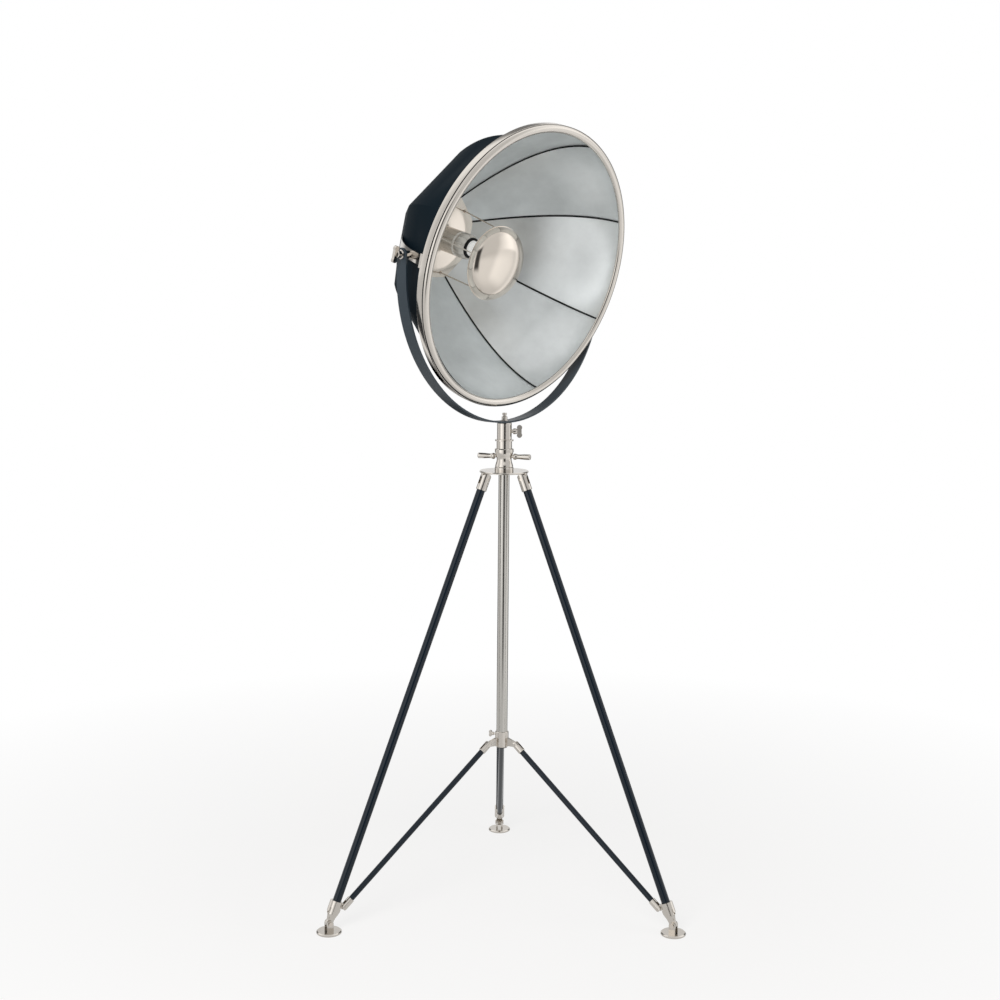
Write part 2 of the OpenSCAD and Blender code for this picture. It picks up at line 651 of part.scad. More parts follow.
// The bow: a strip from the band behind the mouth to the shell's crease, with a boss on the tilt axis.
// Its outline passes through three places, each given as a depth and a distance from the middle plane.
bow_front = band_back;
bow_back = crease_depth + 10;
bow_front_x = strap_in - 9;
bow_mid_x = strap_in - 22;
bow_back_x = shell_r(bow_back) * cos(flat_half) + bow_t + 0.1;
bow_slope_1 = (bow_mid_x - bow_front_x) / (rim_ahead - bow_front);
bow_slope_2 = (bow_back_x - bow_mid_x) / (bow_back - rim_ahead);
bow_curve = (bow_slope_2 - bow_slope_1) / (bow_back - bow_front);
function bow_x(s) =
    bow_front_x + (s - bow_front) * (bow_slope_1 + bow_curve * (s - rim_ahead));
bow_steps = 14;
bow_foot_w = bow_w + 8;
bow_foot_t = 7;
boss_in = bow_mid_x - 5;
boss_out = strap_in - 1.2;
boss_l = boss_out - boss_in;
module pivot_bow(side) color(nickel) difference() {
    union() {
        in_head() mirror([side < 0 ? 1 : 0, 0, 0]) {
            translate([0, bowl_drop - bow_w / 2, 0]) rotate([-90, 0, 0]) linear_extrude(bow_w) bow_outline();
            translate([bow_front_x - 4.5, bowl_drop - bow_foot_w / 2, -bow_front - bow_foot_t])
                cube([9, bow_foot_w, bow_foot_t]);
        }
        on_tilt_axis() rotate([0, side * 90, 0]) translate([0, 0, boss_in]) cylinder(d = boss_d, h = boss_l);
    }
    on_tilt_axis() rotate([0, side * 90, 0]) translate([0, 0, boss_in - over])
        cylinder(d = stud_d, h = boss_l + 2 * over);
}

module bow_outline() {
    depths = [for (i = [0:bow_steps]) bow_front + (bow_back - bow_front) * i / bow_steps];
    polygon(concat([for (s = depths) [bow_x(s), s]],
        [for (i = [bow_steps:-1:0]) [bow_x(depths[i]) - bow_t, depths[i]]]));
}

module pivot_studs() color(bright_nickel) for (side = [-1, 1]) on_tilt_axis() rotate([0, side * 90, 0])
    translate([0, 0, boss_in]) cylinder(d = stud_d, h = strap_out + stud_out - boss_in);

module pivot_washers() color(insulator_black) for (side = [-1, 1]) on_tilt_axis() rotate([0, side * 90, 0])
    translate([0, 0, boss_out]) difference() {
        cylinder(d = boss_d + 4, h = 0.9);
        translate([0, 0, -over]) cylinder(d = stud_d, h = 4);
    }

stud_out = 13;
module tilt_knob(side) color(nickel)
    on_tilt_axis() rotate([0, side * 90, 0]) translate([0, 0, strap_out + side_gap]) difference() {
    union() {
        rotate_extrude() polygon([[0, 0], [10, 0], [10, 2], [8, 4], [7.5, 12], [6.5, 14], [0, 14]]);
        translate([0, 0, 17]) rotate([90, 0, 90]) oval_wing(36, 11, 7);
    }
    translate([0, 0, -over]) cylinder(d = stud_d + 2 * run_gap, h = stud_out + over + side_gap);
}

// ---- Hub ----

ear_h_in = 8;
module hub_collar() color(nickel) difference() {
    union() {
        rotate_extrude() polygon([[0, hub_low], [hub_d / 2 - 1, hub_low], [hub_d / 2, hub_low + 1],
            [hub_d / 2, hub_top - 1], [hub_d / 2 - 1, hub_top], [0, hub_top]]);
        for (k = [1:3]) at_leg(k) hub_ear();
    }
    translate([0, 0, hub_low - over]) cylinder(d = column_d + 2 * run_gap, h = hub_h + 2 * over);
    for (k = [1:3]) at_leg(k) translate([hub_ear_reach, 0, hub_ear_h]) pin_y(strut_pin_d, 2 * strut_ear_t);
    rotate([0, 0, hub_screw_turn]) translate([0, 0, hub_screw_h]) rotate([0, 90, 0])
        cylinder(d = hub_screw_d + 2 * run_gap, h = hub_d);
}

module hub_ear() translate([0, strut_ear_t / 2, 0]) rotate([90, 0, 0]) linear_extrude(strut_ear_t) {
    translate([hub_ear_reach, hub_ear_h]) circle(r = 6);
    polygon([[hub_d / 2 - 2, hub_ear_h - 6], [hub_ear_reach, hub_ear_h - 6],
        [hub_ear_reach + 6 * cos(50), hub_ear_h + 6 * sin(50)], [hub_d / 2 - 2, hub_ear_h + 6 + ear_h_in]]);
}

module hub_pins() color(bright_nickel) for (k = [1:3]) at_leg(k) translate([hub_ear_reach, 0, hub_ear_h])
    pin_y(strut_pin_d, strut_ear_t);

module hub_screw() color(nickel) rotate([0, 0, hub_screw_turn])
    translate([column_d / 2 + side_gap, 0, hub_screw_h]) rotate([0, 90, 0])
    thumb_screw(hub_screw_d, hub_d / 2 + 4 - column_d / 2, 8, 6, 15, 7, 4);

// ---- Legs ----

leg_slot = 14;
leg_seat = leg_fork_len - leg_slot - 1;
module leg_tube(k) color(black_steel) along_leg(k) translate([0, 0, -leg_len + socket_top - socket_depth])
    tube(leg_tube_d, leg_tube_wall, leg_len - socket_top + socket_depth - leg_slot - 1);

module leg_fork(k) color(nickel) along_leg(k) difference() {
    intersection() {
        translate([0, 0, -leg_fork_len]) cylinder(d = leg_fork_d, h = leg_fork_len + leg_fork_d / 2);
        union() {
            pin_y(leg_fork_d, leg_fork_d + 2);
            translate([-leg_fork_d, -leg_fork_d, -leg_fork_len - over])
                cube([2 * leg_fork_d, 2 * leg_fork_d, leg_fork_len + over]);
        }
    }
    translate([-leg_fork_d, -tongue_t / 2 - side_gap, -leg_slot])
        cube([2 * leg_fork_d, tongue_t + 2 * side_gap, leg_slot + leg_fork_d]);
    translate([0, 0, -leg_fork_len - over]) cylinder(d = leg_tube_d, h = over + leg_seat);
    pin_y(leg_pin_d + 2 * run_gap, 2 * leg_fork_d);
}

body_t = 14;
module leg_casting(k) color(nickel) at_foot_pin(k) difference() {
    union() {
        translate([0, 0, socket_top - socket_depth - 6]) cylinder(d = socket_d, h = socket_depth + 6);
        rotate([90, 0, 0]) linear_extrude(body_t, center = true) casting_outline();
        rotate([90, 0, 0]) linear_extrude(tongue_t, center = true) casting_tongue();
        translate([-ear_inward, 0, ear_along]) pin_y(2 * ear_r, strut_ear_t);
        translate([-ear_inward, -strut_ear_t / 2, ear_along - ear_r])
            cube([ear_inward - socket_d / 4, strut_ear_t, 2 * ear_r]);
        casting_pad();
    }
    translate([0, 0, socket_top - socket_depth]) cylinder(d = leg_tube_d, h = socket_depth + over);
    pin_y(leg_pin_d, 3 * tongue_t);
    translate([-ear_inward, 0, ear_along]) pin_y(strut_pin_d + 2 * run_gap, 3 * strut_ear_t);
    translate([socket_d / 2 - 5, -3, 12]) cube([socket_d, 6, 15]);
}

// The casting seen from the side: it narrows from the socket to the tongue
module casting_outline() {
    half = socket_d / 2;
    low = 11;
    top = socket_top - socket_depth + 4;
    steps = 8;
    low_half = 6.5;
    side_points = [for (i = [0:steps]) let (u = i / steps)
        [low_half + (half - low_half) * smooth(u), low + (top - low) * u]];
    polygon(concat(side_points, [[half, top + 4], [-half, top + 4]],
        [for (i = [steps:-1:0]) [-side_points[i][0], side_points[i][1]]]));
}

module casting_tongue() {
    circle(d = 16);
    translate([-7.5, 0]) square([15, 20]);
}

// Raised oblong pad on the outer side
module casting_pad() intersection() {
    translate([0, 0, socket_top - 26]) cylinder(d = socket_d + 4, h = 26);
    rotate([0, 90, 0]) union() {
        translate([-socket_top + 26 - pad_w / 2, 0, 0]) cylinder(d = pad_w, h = socket_d);
        translate([-socket_top, -pad_w / 2, 0]) cube([26 - pad_w / 2, pad_w, socket_d]);
    }
}

// ---- Struts ----

module strut_tube(k) color(black_steel) along_strut(k) translate([0, 0, strut_fork_len - strut_seat])
    tube(strut_tube_d, strut_tube_wall, strut_len - 2 * (strut_fork_len - strut_seat));

// A fork with its pin at the origin and its ferrule along +Z
module strut_fork(slot) difference() {
    intersection() {
        translate([0, 0, -strut_fork_d]) cylinder(d = strut_fork_d, h = strut_fork_len + strut_fork_d);
        union() {
            pin_y(2 * ear_r, strut_fork_d + 2);
            translate([-ear_r, -strut_fork_d, 0]) cube([2 * ear_r, 2 * strut_fork_d, 5]);
            translate([-strut_fork_d, -strut_fork_d, 4.9])
                cube([2 * strut_fork_d, 2 * strut_fork_d, strut_fork_len]);
        }
    }
    translate([-strut_fork_d, -strut_ear_t / 2 - side_gap, -strut_fork_d])
        cube([2 * strut_fork_d, strut_ear_t + 2 * side_gap, strut_fork_d + slot]);
    translate([0, 0, strut_fork_len - strut_seat]) cylinder(d = strut_tube_d, h = 4);
}

// Lower fork with its pin, and upper fork with a rivet head on each cheek
module strut_forks(k) color(nickel) along_strut(k) {
    strut_fork(ear_r + 5);
    pin_y(strut_pin_d, strut_fork_d + 1.5);
    translate([0, 0, strut_len]) rotate([180, 0, 0]) {
        strut_fork(upper_slot);
        for (side = [-1, 1]) translate([0, side * (strut_fork_d / 2 - 0.6), 0]) pin_y(strut_pin_d + 2, 1.6);
    }
}

// ---- Feet ----

lug_t = 4;
foot_lug_r = 7.5;
module foot(k) color(nickel) at_leg(k) translate([foot_reach, 0, 0]) difference() {
    union() {
        rotate_extrude() polygon([[0, 0], [foot_d / 2 - 1.5, 0], [foot_d / 2, 1.2], [foot_d / 2, foot_t - 2],
            [foot_d / 2 - 2.5, foot_t], [0, foot_t]]);
        for (side = [-1, 1]) translate([0, side * (tongue_t / 2 + side_gap + lug_t / 2), 0]) {
            translate([0, 0, foot_pin_h]) pin_y(2 * foot_lug_r, lug_t);
            translate([-foot_lug_r, -lug_t / 2, foot_t - over])
                cube([2 * foot_lug_r, lug_t, foot_pin_h - foot_t + over]);
        }
    }
    translate([0, 0, foot_pin_h]) pin_y(leg_pin_d + 2 * run_gap, 4 * tongue_t);
}

module foot_pin(k) color(bright_nickel) at_leg(k) translate([foot_reach, 0, foot_pin_h]) {
    outer = tongue_t / 2 + side_gap + lug_t + side_gap;
    pin_y(leg_pin_d, 2 * outer);
    translate([0, outer + 1, 0]) pin_y(leg_pin_d + 4, 2);
    translate([0, -outer - 1, 0]) pin_y(leg_pin_d + 4, 2);
}

// ---- The pieces ----

tripod_plate();
column_tube();
column_plug();
leg_hinge_pins();
clamp_base();
clamp_nut();
clamp_handles();
clamp_collet();
mast_tube();
mast_socket();
wing_screw();
yoke_strap();
yoke_spigot();
yoke_top_screw();
outer_shell();
rear_cap();
cable_gland();
rim_ring();
rim_band();
rim_gasket();
reflector_petals();
seam_ribs();
centre_plate();
lampholder();
holder_ring();
bulb();
dome_mirror();
dome_rods();
pivot_bow(-1);  // pivot_bow_left
pivot_bow(1);  // pivot_bow_right
pivot_studs();
pivot_washers();
tilt_knob(-1);  // tilt_knob_left
tilt_knob(1);  // tilt_knob_right
hub_collar();
hub_pins();
hub_screw();
leg_tube(1);  // leg_tube_1
leg_tube(2);  // leg_tube_2
leg_tube(3);  // leg_tube_3
leg_fork(1);  // leg_fork_1
leg_fork(2);  // leg_fork_2
leg_fork(3);  // leg_fork_3
leg_casting(1);  // leg_casting_1
leg_casting(2);  // leg_casting_2
leg_casting(3);  // leg_casting_3
strut_tube(1);  // strut_tube_1
strut_tube(2);  // strut_tube_2
strut_tube(3);  // strut_tube_3
strut_forks(1);  // strut_forks_1
strut_forks(2);  // strut_forks_2
strut_forks(3);  // strut_forks_3
foot(1);  // foot_1
foot(2);  // foot_2
foot(3);  // foot_3
foot_pin(1);  // foot_pin_1
foot_pin(2);  // foot_pin_2
foot_pin(3);  // foot_pin_3
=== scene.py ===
"""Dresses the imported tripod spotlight: smooth bowl surfaces, plated and painted finishes, and the studio."""

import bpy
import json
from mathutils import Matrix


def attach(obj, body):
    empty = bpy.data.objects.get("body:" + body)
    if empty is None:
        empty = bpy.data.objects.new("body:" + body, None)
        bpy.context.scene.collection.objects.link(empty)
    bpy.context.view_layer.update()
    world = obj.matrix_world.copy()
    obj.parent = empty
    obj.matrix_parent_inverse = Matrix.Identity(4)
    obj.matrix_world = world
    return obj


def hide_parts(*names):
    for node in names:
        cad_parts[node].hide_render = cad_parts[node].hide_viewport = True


bl_info = {
    "name": "Tripod spotlight",
    "version": (1, 0, 0),
    "blender": (4, 5, 0),
    "location": "View3D > Sidebar > Spotlight",
    "description": "Surfaces, finishes and studio of a tripod spotlight floor lamp",
    "category": "Object",
}

import json
import math

import bpy
import numpy as np
from bpy.props import FloatProperty, FloatVectorProperty, PointerProperty, StringProperty
from mathutils import Matrix, Vector

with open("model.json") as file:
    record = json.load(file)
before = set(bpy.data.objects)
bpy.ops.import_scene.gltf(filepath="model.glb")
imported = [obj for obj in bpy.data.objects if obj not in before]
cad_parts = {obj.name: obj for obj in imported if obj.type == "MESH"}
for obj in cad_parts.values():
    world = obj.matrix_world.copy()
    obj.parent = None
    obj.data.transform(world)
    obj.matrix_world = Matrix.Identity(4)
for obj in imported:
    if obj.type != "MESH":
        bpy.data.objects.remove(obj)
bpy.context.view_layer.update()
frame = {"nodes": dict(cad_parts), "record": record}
NODES = frame["nodes"]

MM = 0.001
SIDES = 8                               # sides of the bowl, each with its petal and its seam
HALF_SIDE = math.pi / SIDES             # half the angle of one side
TILT_AXIS_HEIGHT = 1.484                # metres over the floor
BOWL_ROWS = 72                          # points from the mouth to the centre plate
PETAL_COLUMNS = 40                      # points across a petal
SHELL_ROWS = (60, 12)                   # points from the mouth to the crease, and from there to the back
SHELL_COLUMNS = 20                      # points across a side of the shell
RING_COLUMNS = 320                      # points round the mouth's ring and band


def linear(hex_code):
    """The linear RGBA of an sRGB hex colour."""
    channels = np.array([int(hex_code[i:i + 2], 16) for i in (1, 3, 5)]) / 255
    low = channels / 12.92
    high = ((channels + 0.055) / 1.055) ** 2.4
    return (*np.where(channels <= 0.04045, low, high).tolist(), 1.0)


# ---- Settings ----

def length(name, description, metres):
    """A length."""
    return FloatProperty(name=name, description=description, default=metres, unit="LENGTH")


def angle(name, description, degrees):
    """An angle, given here in degrees."""
    return FloatProperty(name=name, description=description, default=math.radians(degrees), subtype="ANGLE")


def power(name, description, watts):
    """The power of a lamp."""
    return FloatProperty(name=name, description=description, default=watts, subtype="POWER", unit="POWER")


def number(name, description, value):
    """A number without a unit."""
    return FloatProperty(name=name, description=description, default=value)


def colour(name, description, hex_code):
    """An sRGB colour."""
    return StringProperty(name=name, description=description, default=hex_code)


class BowlSettings(bpy.types.PropertyGroup):
    """Sizes of the bowl, in the head's own directions, with depths counted from the mouth."""
    tilt: angle("Tilt", "Tilt of the head at rest", 15.4)
    ahead: length("Mouth ahead", "Mouth in front of the tilt axis", 0.073)
    drop: length("Axis drop", "Bowl's axis under the tilt axis", 0.008)
    mouth: length("Mouth radius", "Reflector's radius at the mouth", 0.302)
    depth: length("Depth", "Mouth to centre plate", 0.280)
    centre: length("Centre radius", "Reflector's radius at the plate", 0.103)
    lead: number("Lead", "Reflector's slope at the mouth", 0.12)
    corner_depth: length("Corner depth", "Depth where the section is fully eight-sided", 0.110)
    shell_mouth: length("Shell mouth", "Shell's radius at the mouth", 0.306)
    shell_lead: number("Shell lead", "Shell's slope at the mouth", 0.05)
    crease_depth: length("Crease depth", "Depth of the crease", 0.190)
    crease: length("Crease radius", "Shell's corner radius at the crease", 0.228)
    back_depth: length("Back depth", "Depth of the flat back", 0.293)
    back: length("Back radius", "Shell's corner radius at the back", 0.124)
    back_hole: length("Back hole", "Radius of the lampholder's hole in the back", 0.029)
    petal_wall: length("Petal wall", "Thickness of a petal", 0.001)
    shell_wall: length("Shell wall", "Thickness of the shell", 0.0015)
    seam_lap: length("Seam lap", "Petal's edge inside the side of a rib", 0.001)
    rib_width: length("Rib width", "Width of a dark rib", 0.004)
    rib_base: length("Rib base", "Base of a rib's half-round face in front of the seam", 0.0013)
    rib_rise: length("Rib rise", "Height of a rib's half-round face", 0.002)
    key_inset: length("Key inset", "Side of a rib's key inside the rib's side", 0.0011)


class RingSettings(bpy.types.PropertyGroup):
    """Sizes of the turned pieces of the head."""
    rim: length("Ring radius", "Outer radius of the mouth ring", 0.317)
    face: length("Ring face", "Radial width of the mouth ring", 0.018)
    rise: length("Ring rise", "Height of the bead over the mouth", 0.007)
    # The black gasket in this groove is partly painted shade for the gap between bead and band
    groove: length("Groove", "Width of the dark groove", 0.0035)
    band: length("Band", "Depth of the band behind the groove", 0.016)
    band_wall: length("Band wall", "Thickness of the band", 0.0018)
    band_front: length("Band front", "Rounding of the band's front edge", 0.0008)
    band_rear: length("Band rear", "Rounding of the band's rear edge", 0.001)
    band_gap: length("Band gap", "Between the band's back and the shell", 0.0003)
    dome: length("Dome radius", "Radius of the dome", 0.084)
    dome_rise: length("Dome rise", "Dome over its lip", 0.034)
    dome_power: number("Dome power", "Power of the sine that flattens the dome's middle", 0.85)
    dome_wall: length("Dome wall", "Thickness of the dome", 0.0012)
    dome_lip: length("Dome lip", "Width of the bead round the dome", 0.0016)
    dome_bead: length("Dome bead", "Radius of the bead round the dome", 0.0012)
    dome_hem: length("Dome hem", "Lip turned in under the dome", 0.005)
    dome_depth: length("Dome depth", "Lip behind the mouth", 0.101)
    dome_drop: length("Dome drop", "Dome's middle under the bowl's axis", 0.014)


class FittingSettings(bpy.types.PropertyGroup):
    """Sizes of the dome's rods and the clamp's handles."""
    rod: length("Rod", "Radius of a rod", 0.0015)
    rod_root: length("Rod root", "Radius at which the rods stand on the centre plate", 0.088)
    rod_inset: length("Rod inset", "Rod's front end inside the dome's edge", 0.003)
    rod_seat: length("Rod seat", "Rod's front end behind the dome's lip", 0.0022)
    handle_height: length("Handle height", "Handles over the floor", 1.0388)
    handle_turn: angle("Handle turn", "Direction of the handles, counted from +X", -63)
    handle_pin: length("Handle pin", "Radius of the pin in the nut", 0.003)
    handle_root: length("Handle root", "Handle's inner end from the axis", 0.0167)
    handle_neck: length("Handle neck", "Where the handle leaves the nut", 0.021)
    handle_reach: length("Handle reach", "Handle's outer end from the axis", 0.062)


class FinishSettings(bpy.types.PropertyGroup):
    """Colours of the finishes, as sRGB hex."""
    nickel: colour("Nickel", "Warm satin nickel plate", "#d8d2ca")
    bright: colour("Bright nickel", "Polished nickel plate", "#e3dacf")
    silver: colour("Reflector", "Satin silver reflector sheet", "#ebefef")
    paint: colour("Tube paint", "Blue-black satin paint of the tubes", "#0a1722")
    # The bar's grey is lighter than the tubes' black paint: painted light on its flat faces
    strap: colour("Strap paint", "Paint of the yoke's flat bar", "#27323a")
    shell: colour("Shell paint", "Blue-black paint", "#0f1a21")
    column: colour("Column", "Brushed column tube", "#cfccc6")
    bulb: colour("Bulb", "Opal lamp glass", "#f4f1ea")
    black: colour("Insulator", "Matt black", "#17181a")


class StageSettings(bpy.types.PropertyGroup):
    """The photograph's view and the studio light."""
    camera_place: FloatVectorProperty(name="Camera", description="Place of the camera", subtype="TRANSLATION",
                                      unit="LENGTH", default=(-2.5913, -2.3497, 1.4254))
    heading: angle("Heading", "Turn of the view from +Y towards +X", 47.656)
    pitch: angle("Pitch", "View's dip under the horizon", 7.92)
    roll: angle("Roll", "Clockwise lean of the picture", 0.46)
    lens: number("Lens", "Focal length in mm on a 36 mm frame", 55.96)
    key: power("Key light", "Power of the soft key light", 115)
    fill: power("Fill light", "Power of the soft fill light", 24)
    ambient: number("Ambient", "Strength of the even light on paint", 0.32)
    backdrop: number("Backdrop", "Reflected brightness of the backdrop's sides", 1.15)
    middle: number("Backdrop middle", "Change of brightness behind the lamp", -0.3)
    flag: number("Flags", "Change of brightness at the dark flags around it", -0.95)
    foot: number("Backdrop foot", "Change of brightness low on the backdrop", -0.25)
    room: number("Room", "Reflected brightness of the room behind the camera", 0.72)
    ceiling: number("Ceiling", "Brightness that the ceiling adds", 0.06)
    wall: number("Wall", "Brightness that the wall to the camera's left adds", 0.35)
    ground: number("Ground", "Reflected brightness of the floor", 0.7)
    bounce: number("Bounce", "Brightness that the floor to the camera's right adds", 0.22)


# ---- Meshes ----

def put_mesh(name, points, faces, material, sharp=30):
    """A finished object at the origin from an (n, 3) array in metres and an (m, 4) array of corners. Corners
    that repeat in a face are dropped, and edges over a number of degrees stay sharp."""
    mesh = bpy.data.meshes.new(name)
    mesh.from_pydata(points.tolist(), [], [list(dict.fromkeys(face)) for face in faces.tolist()])
    mesh.validate()
    mesh.polygons.foreach_set("use_smooth", np.ones(len(mesh.polygons), dtype=bool))
    mesh.set_sharp_from_angle(angle=math.radians(sharp))
    mesh.materials.append(material)
    mesh.update()
    obj = bpy.data.objects.new(name, mesh)
    bpy.context.scene.collection.objects.link(obj)
    return obj


def tie(piece, body, node):
    """Ties a piece to its body and the node that it replaces."""
    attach(piece, body)
    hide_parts(node)


def grid_faces(rows, columns, wrap_rows, wrap_columns):
    """Corners of the quads of a rows x columns grid of points, closed round either way if it wraps."""
    i = np.arange(rows if wrap_rows else rows - 1)[:, None]
    j = np.arange(columns if wrap_columns else columns - 1)[None, :]
    near, far = i * columns, (i + 1) % rows * columns
    here, there = j, (j + 1) % columns
    return np.stack([near + here, near + there, far + there, far + here], axis=-1).reshape(-1, 4)


def outward(points, faces):
    """The faces, turned over if the closed mesh they make has a negative volume.
    Six times the volume is the sum over triangles of a . (b x c)."""
    a, b, c, d = (points[faces[:, k]] for k in range(4))
    volume = (np.einsum("ij,ij->i", a, np.cross(b, c)) + np.einsum("ij,ij->i", a, np.cross(c, d))).sum()
    return faces if volume > 0 else faces[:, ::-1]


def full_turn(columns):
    """Evenly spaced angles round a full turn."""
    return np.linspace(0, 2 * np.pi, columns, endpoint=False)


def around_axis(radius, turn, forward, drop=0.0):
    """Points of the head at a turn t from straight up: (radius sin t, radius cos t - drop, forward)."""
    radius, turn, forward = np.broadcast_arrays(radius, turn, forward)
    return np.stack([radius * np.sin(turn), radius * np.cos(turn) - drop, forward], axis=-1)


def to_world(local):
    """Points of the head, given as (across, up, forward from the mouth), in world directions: moved from the
    mouth's middle to the tilt axis, then turned about X by 90 degrees plus the tilt."""
    bowl = bpy.context.scene.spot_bowl
    turn = math.pi / 2 + bowl.tilt
    up, forward = local[..., 1] - bowl.drop, local[..., 2] + bowl.ahead
    return np.stack([local[..., 0],
                     up * math.cos(turn) - forward * math.sin(turn),
                     TILT_AXIS_HEIGHT + up * math.sin(turn) + forward * math.cos(turn)], axis=-1)


def closed_round(points, profile, columns):
    """Points and faces of a turned closed profile, with each row of points on the axis drawn to one point."""
    rows = np.repeat(np.arange(len(profile)), columns)
    index = np.where(profile[rows, 0] > 0, np.arange(len(points)), rows * columns)
    faces = index[grid_faces(len(profile), columns, True, True)]
    faces = faces[[len(set(face)) > 2 for face in faces.tolist()]]
    kept, faces = np.unique(faces, return_inverse=True)
    return points[kept], outward(points[kept], faces.reshape(-1, 4))


def put_ring(name, profile, material, sharp=30, columns=256, drop=0.0):
    """A closed profile of (radius, forward) pairs turned about the bowl's axis, or about a line below it."""
    profile = np.asarray(profile, dtype=float)
    points = to_world(around_axis(profile[:, 0, None], full_turn(columns), profile[:, 1, None], drop))
    return put_mesh(name, *closed_round(points.reshape(-1, 3), profile, columns), material, sharp)


def put_spun(name, profile, base, along, material, sharp=30, columns=48):
    """A closed profile of (radius, length) pairs turned about the line from a base in a direction: each point
    goes to base + length * along + radius * (cos t * side + sin t * along x side) for a full turn of t."""
    profile = np.asarray(profile, dtype=float)
    along = along / np.linalg.norm(along)
    # Any direction across the line serves; no line here runs along this one
    side = np.cross(along, (0.6, 0.0, 0.8))
    side /= np.linalg.norm(side)
    turn = full_turn(columns)[None, :, None]
    points = base + profile[:, 1, None, None] * along + profile[:, 0, None, None] * (
        np.cos(turn) * side + np.sin(turn) * np.cross(along, side))
    return put_mesh(name, *closed_round(points.reshape(-1, 3), profile, columns), material, sharp)


def put_sheet(name, inner, outer, material, sharp=30):
    """A closed sheet between two grids of points of the same shape, with its four edges walled."""
    rows, columns, _ = inner.shape
    count = rows * columns
    border = np.concatenate([np.arange(columns), np.arange(2, rows) * columns - 1,
                             rows * columns - 1 - np.arange(columns), np.arange(rows - 2, 0, -1) * columns])
    following = np.roll(border, -1)
    walls = np.stack([border, following, following + count, border + count], axis=-1)
    faces = grid_faces(rows, columns, False, False)
    points = np.concatenate([inner.reshape(-1, 3), outer.reshape(-1, 3)])
    faces = np.concatenate([faces[:, ::-1], faces + count, walls])
    return put_mesh(name, points, outward(points, faces), material, sharp)


def put_bar(name, grid, material, sharp=30):
    """A bar through closed rows of points, with a fan to the middle of its first and of its last row."""
    rows, columns, _ = grid.shape
    points = np.concatenate([grid.reshape(-1, 3), [grid[0].mean(0), grid[-1].mean(0)]])
    here = np.arange(columns)
    there = (here + 1) % columns
    last_row = (rows - 1) * columns
    first, last = np.full(columns, rows * columns), np.full(columns, rows * columns + 1)
    faces = np.concatenate([grid_faces(rows, columns, False, True),
                            np.stack([first, first, there, here], axis=-1),
                            np.stack([last, last, last_row + here, last_row + there], axis=-1)])
    return put_mesh(name, points, outward(points, faces), material, sharp)


# ---- Form of the bowl ----

def bowl_radius(depth):
    """Reflector's corner radius: mouth - lead * depth - bend * depth^2, with bend set by the centre plate."""
    bowl = bpy.context.scene.spot_bowl
    bend = (bowl.mouth - bowl.centre - bowl.lead * bowl.depth) / bowl.depth ** 2
    return bowl.mouth - bowl.lead * depth - bend * depth ** 2


def shell_radius(depth):
    """Shell's corner radius: a parabola from the mouth to the crease, then a line to the flat back."""
    bowl = bpy.context.scene.spot_bowl
    bend = (bowl.shell_mouth - bowl.crease - bowl.shell_lead * bowl.crease_depth) / bowl.crease_depth ** 2
    front = bowl.shell_mouth - bowl.shell_lead * depth - bend * depth ** 2
    slope = (bowl.crease - bowl.back) / (bowl.back_depth - bowl.crease_depth)
    return np.where(depth < bowl.crease_depth, front, bowl.crease - slope * (depth - bowl.crease_depth))


def smooth(u):
    """3u^2 - 2u^3 between 0 and 1."""
    u = np.clip(u, 0, 1)
    return u * u * (3 - 2 * u)


def side_share(turn, depth):
    """Share of the corner radius at a turn from straight up: 1 at the round mouth, and
    cos(half) / cos(turn from the side's middle) once the section is fully eight-sided."""
    weight = smooth(depth / bpy.context.scene.spot_bowl.corner_depth)
    off = (turn + HALF_SIDE) % (2 * HALF_SIDE) - HALF_SIDE
    return 1 - weight + weight * math.cos(HALF_SIDE) / np.cos(off)


# ---- Finishes ----

def add(tree, kind, links=(), **settings):
    """Adds a node with its settings, and links its sockets as (own input, other's output) pairs.
    A setting in_X is the value of the input X, and any other is a property of the node."""
    node = tree.nodes.new(kind)
    for key, value in settings.items():
        if key.startswith("in_"):
            socket = key[3:]
            socket = int(socket) if socket.isdigit() else socket.replace("_", " ")
            node.inputs[socket].default_value = value
        else:
            setattr(node, key, value)
    for own, other in links:
        tree.links.new(other, node.inputs[own])
    return node


def new_finish(name):
    """An empty material with its Principled shader and output."""
    material = bpy.data.materials.new(name)
    material.use_nodes = True
    tree = material.node_tree
    tree.nodes.clear()
    shader = add(tree, "ShaderNodeBsdfPrincipled")
    output = add(tree, "ShaderNodeOutputMaterial", [("Surface", shader.outputs["BSDF"])])
    return material, tree, shader, output


def object_place(tree):
    """The shaded point, in the object's own coordinates."""
    return add(tree, "ShaderNodeTexCoord").outputs["Object"]


def noise(tree, place, scale, detail, roughness=0.5):
    """Soft noise from 0 to 1, with its scale in features to the metre."""
    return add(tree, "ShaderNodeTexNoise", [("Vector", place)], in_Scale=scale, in_Detail=detail,
               in_Roughness=roughness).outputs["Fac"]


def tint(tree, shader, factor, hex_code, dark_share):
    """Lets a factor take the colour from a share of the hex colour, at 0, to the whole of it, at 1."""
    light = linear(hex_code)
    dark = (*(channel * dark_share for channel in light[:3]), 1.0)
    mix = add(tree, "ShaderNodeMix", [("Factor", factor)], data_type="RGBA", in_6=dark, in_7=light)
    tree.links.new(mix.outputs[2], shader.inputs["Base Color"])


def spread(tree, factor, low, high):
    """A number that goes from low to high with a factor."""
    return add(tree, "ShaderNodeMapRange", [("Value", factor)], in_To_Min=low,
               in_To_Max=high).outputs["Result"]


def roughen(tree, shader, factor, low, high):
    """Lets a factor take the roughness from low to high."""
    tree.links.new(spread(tree, factor, low, high), shader.inputs["Roughness"])


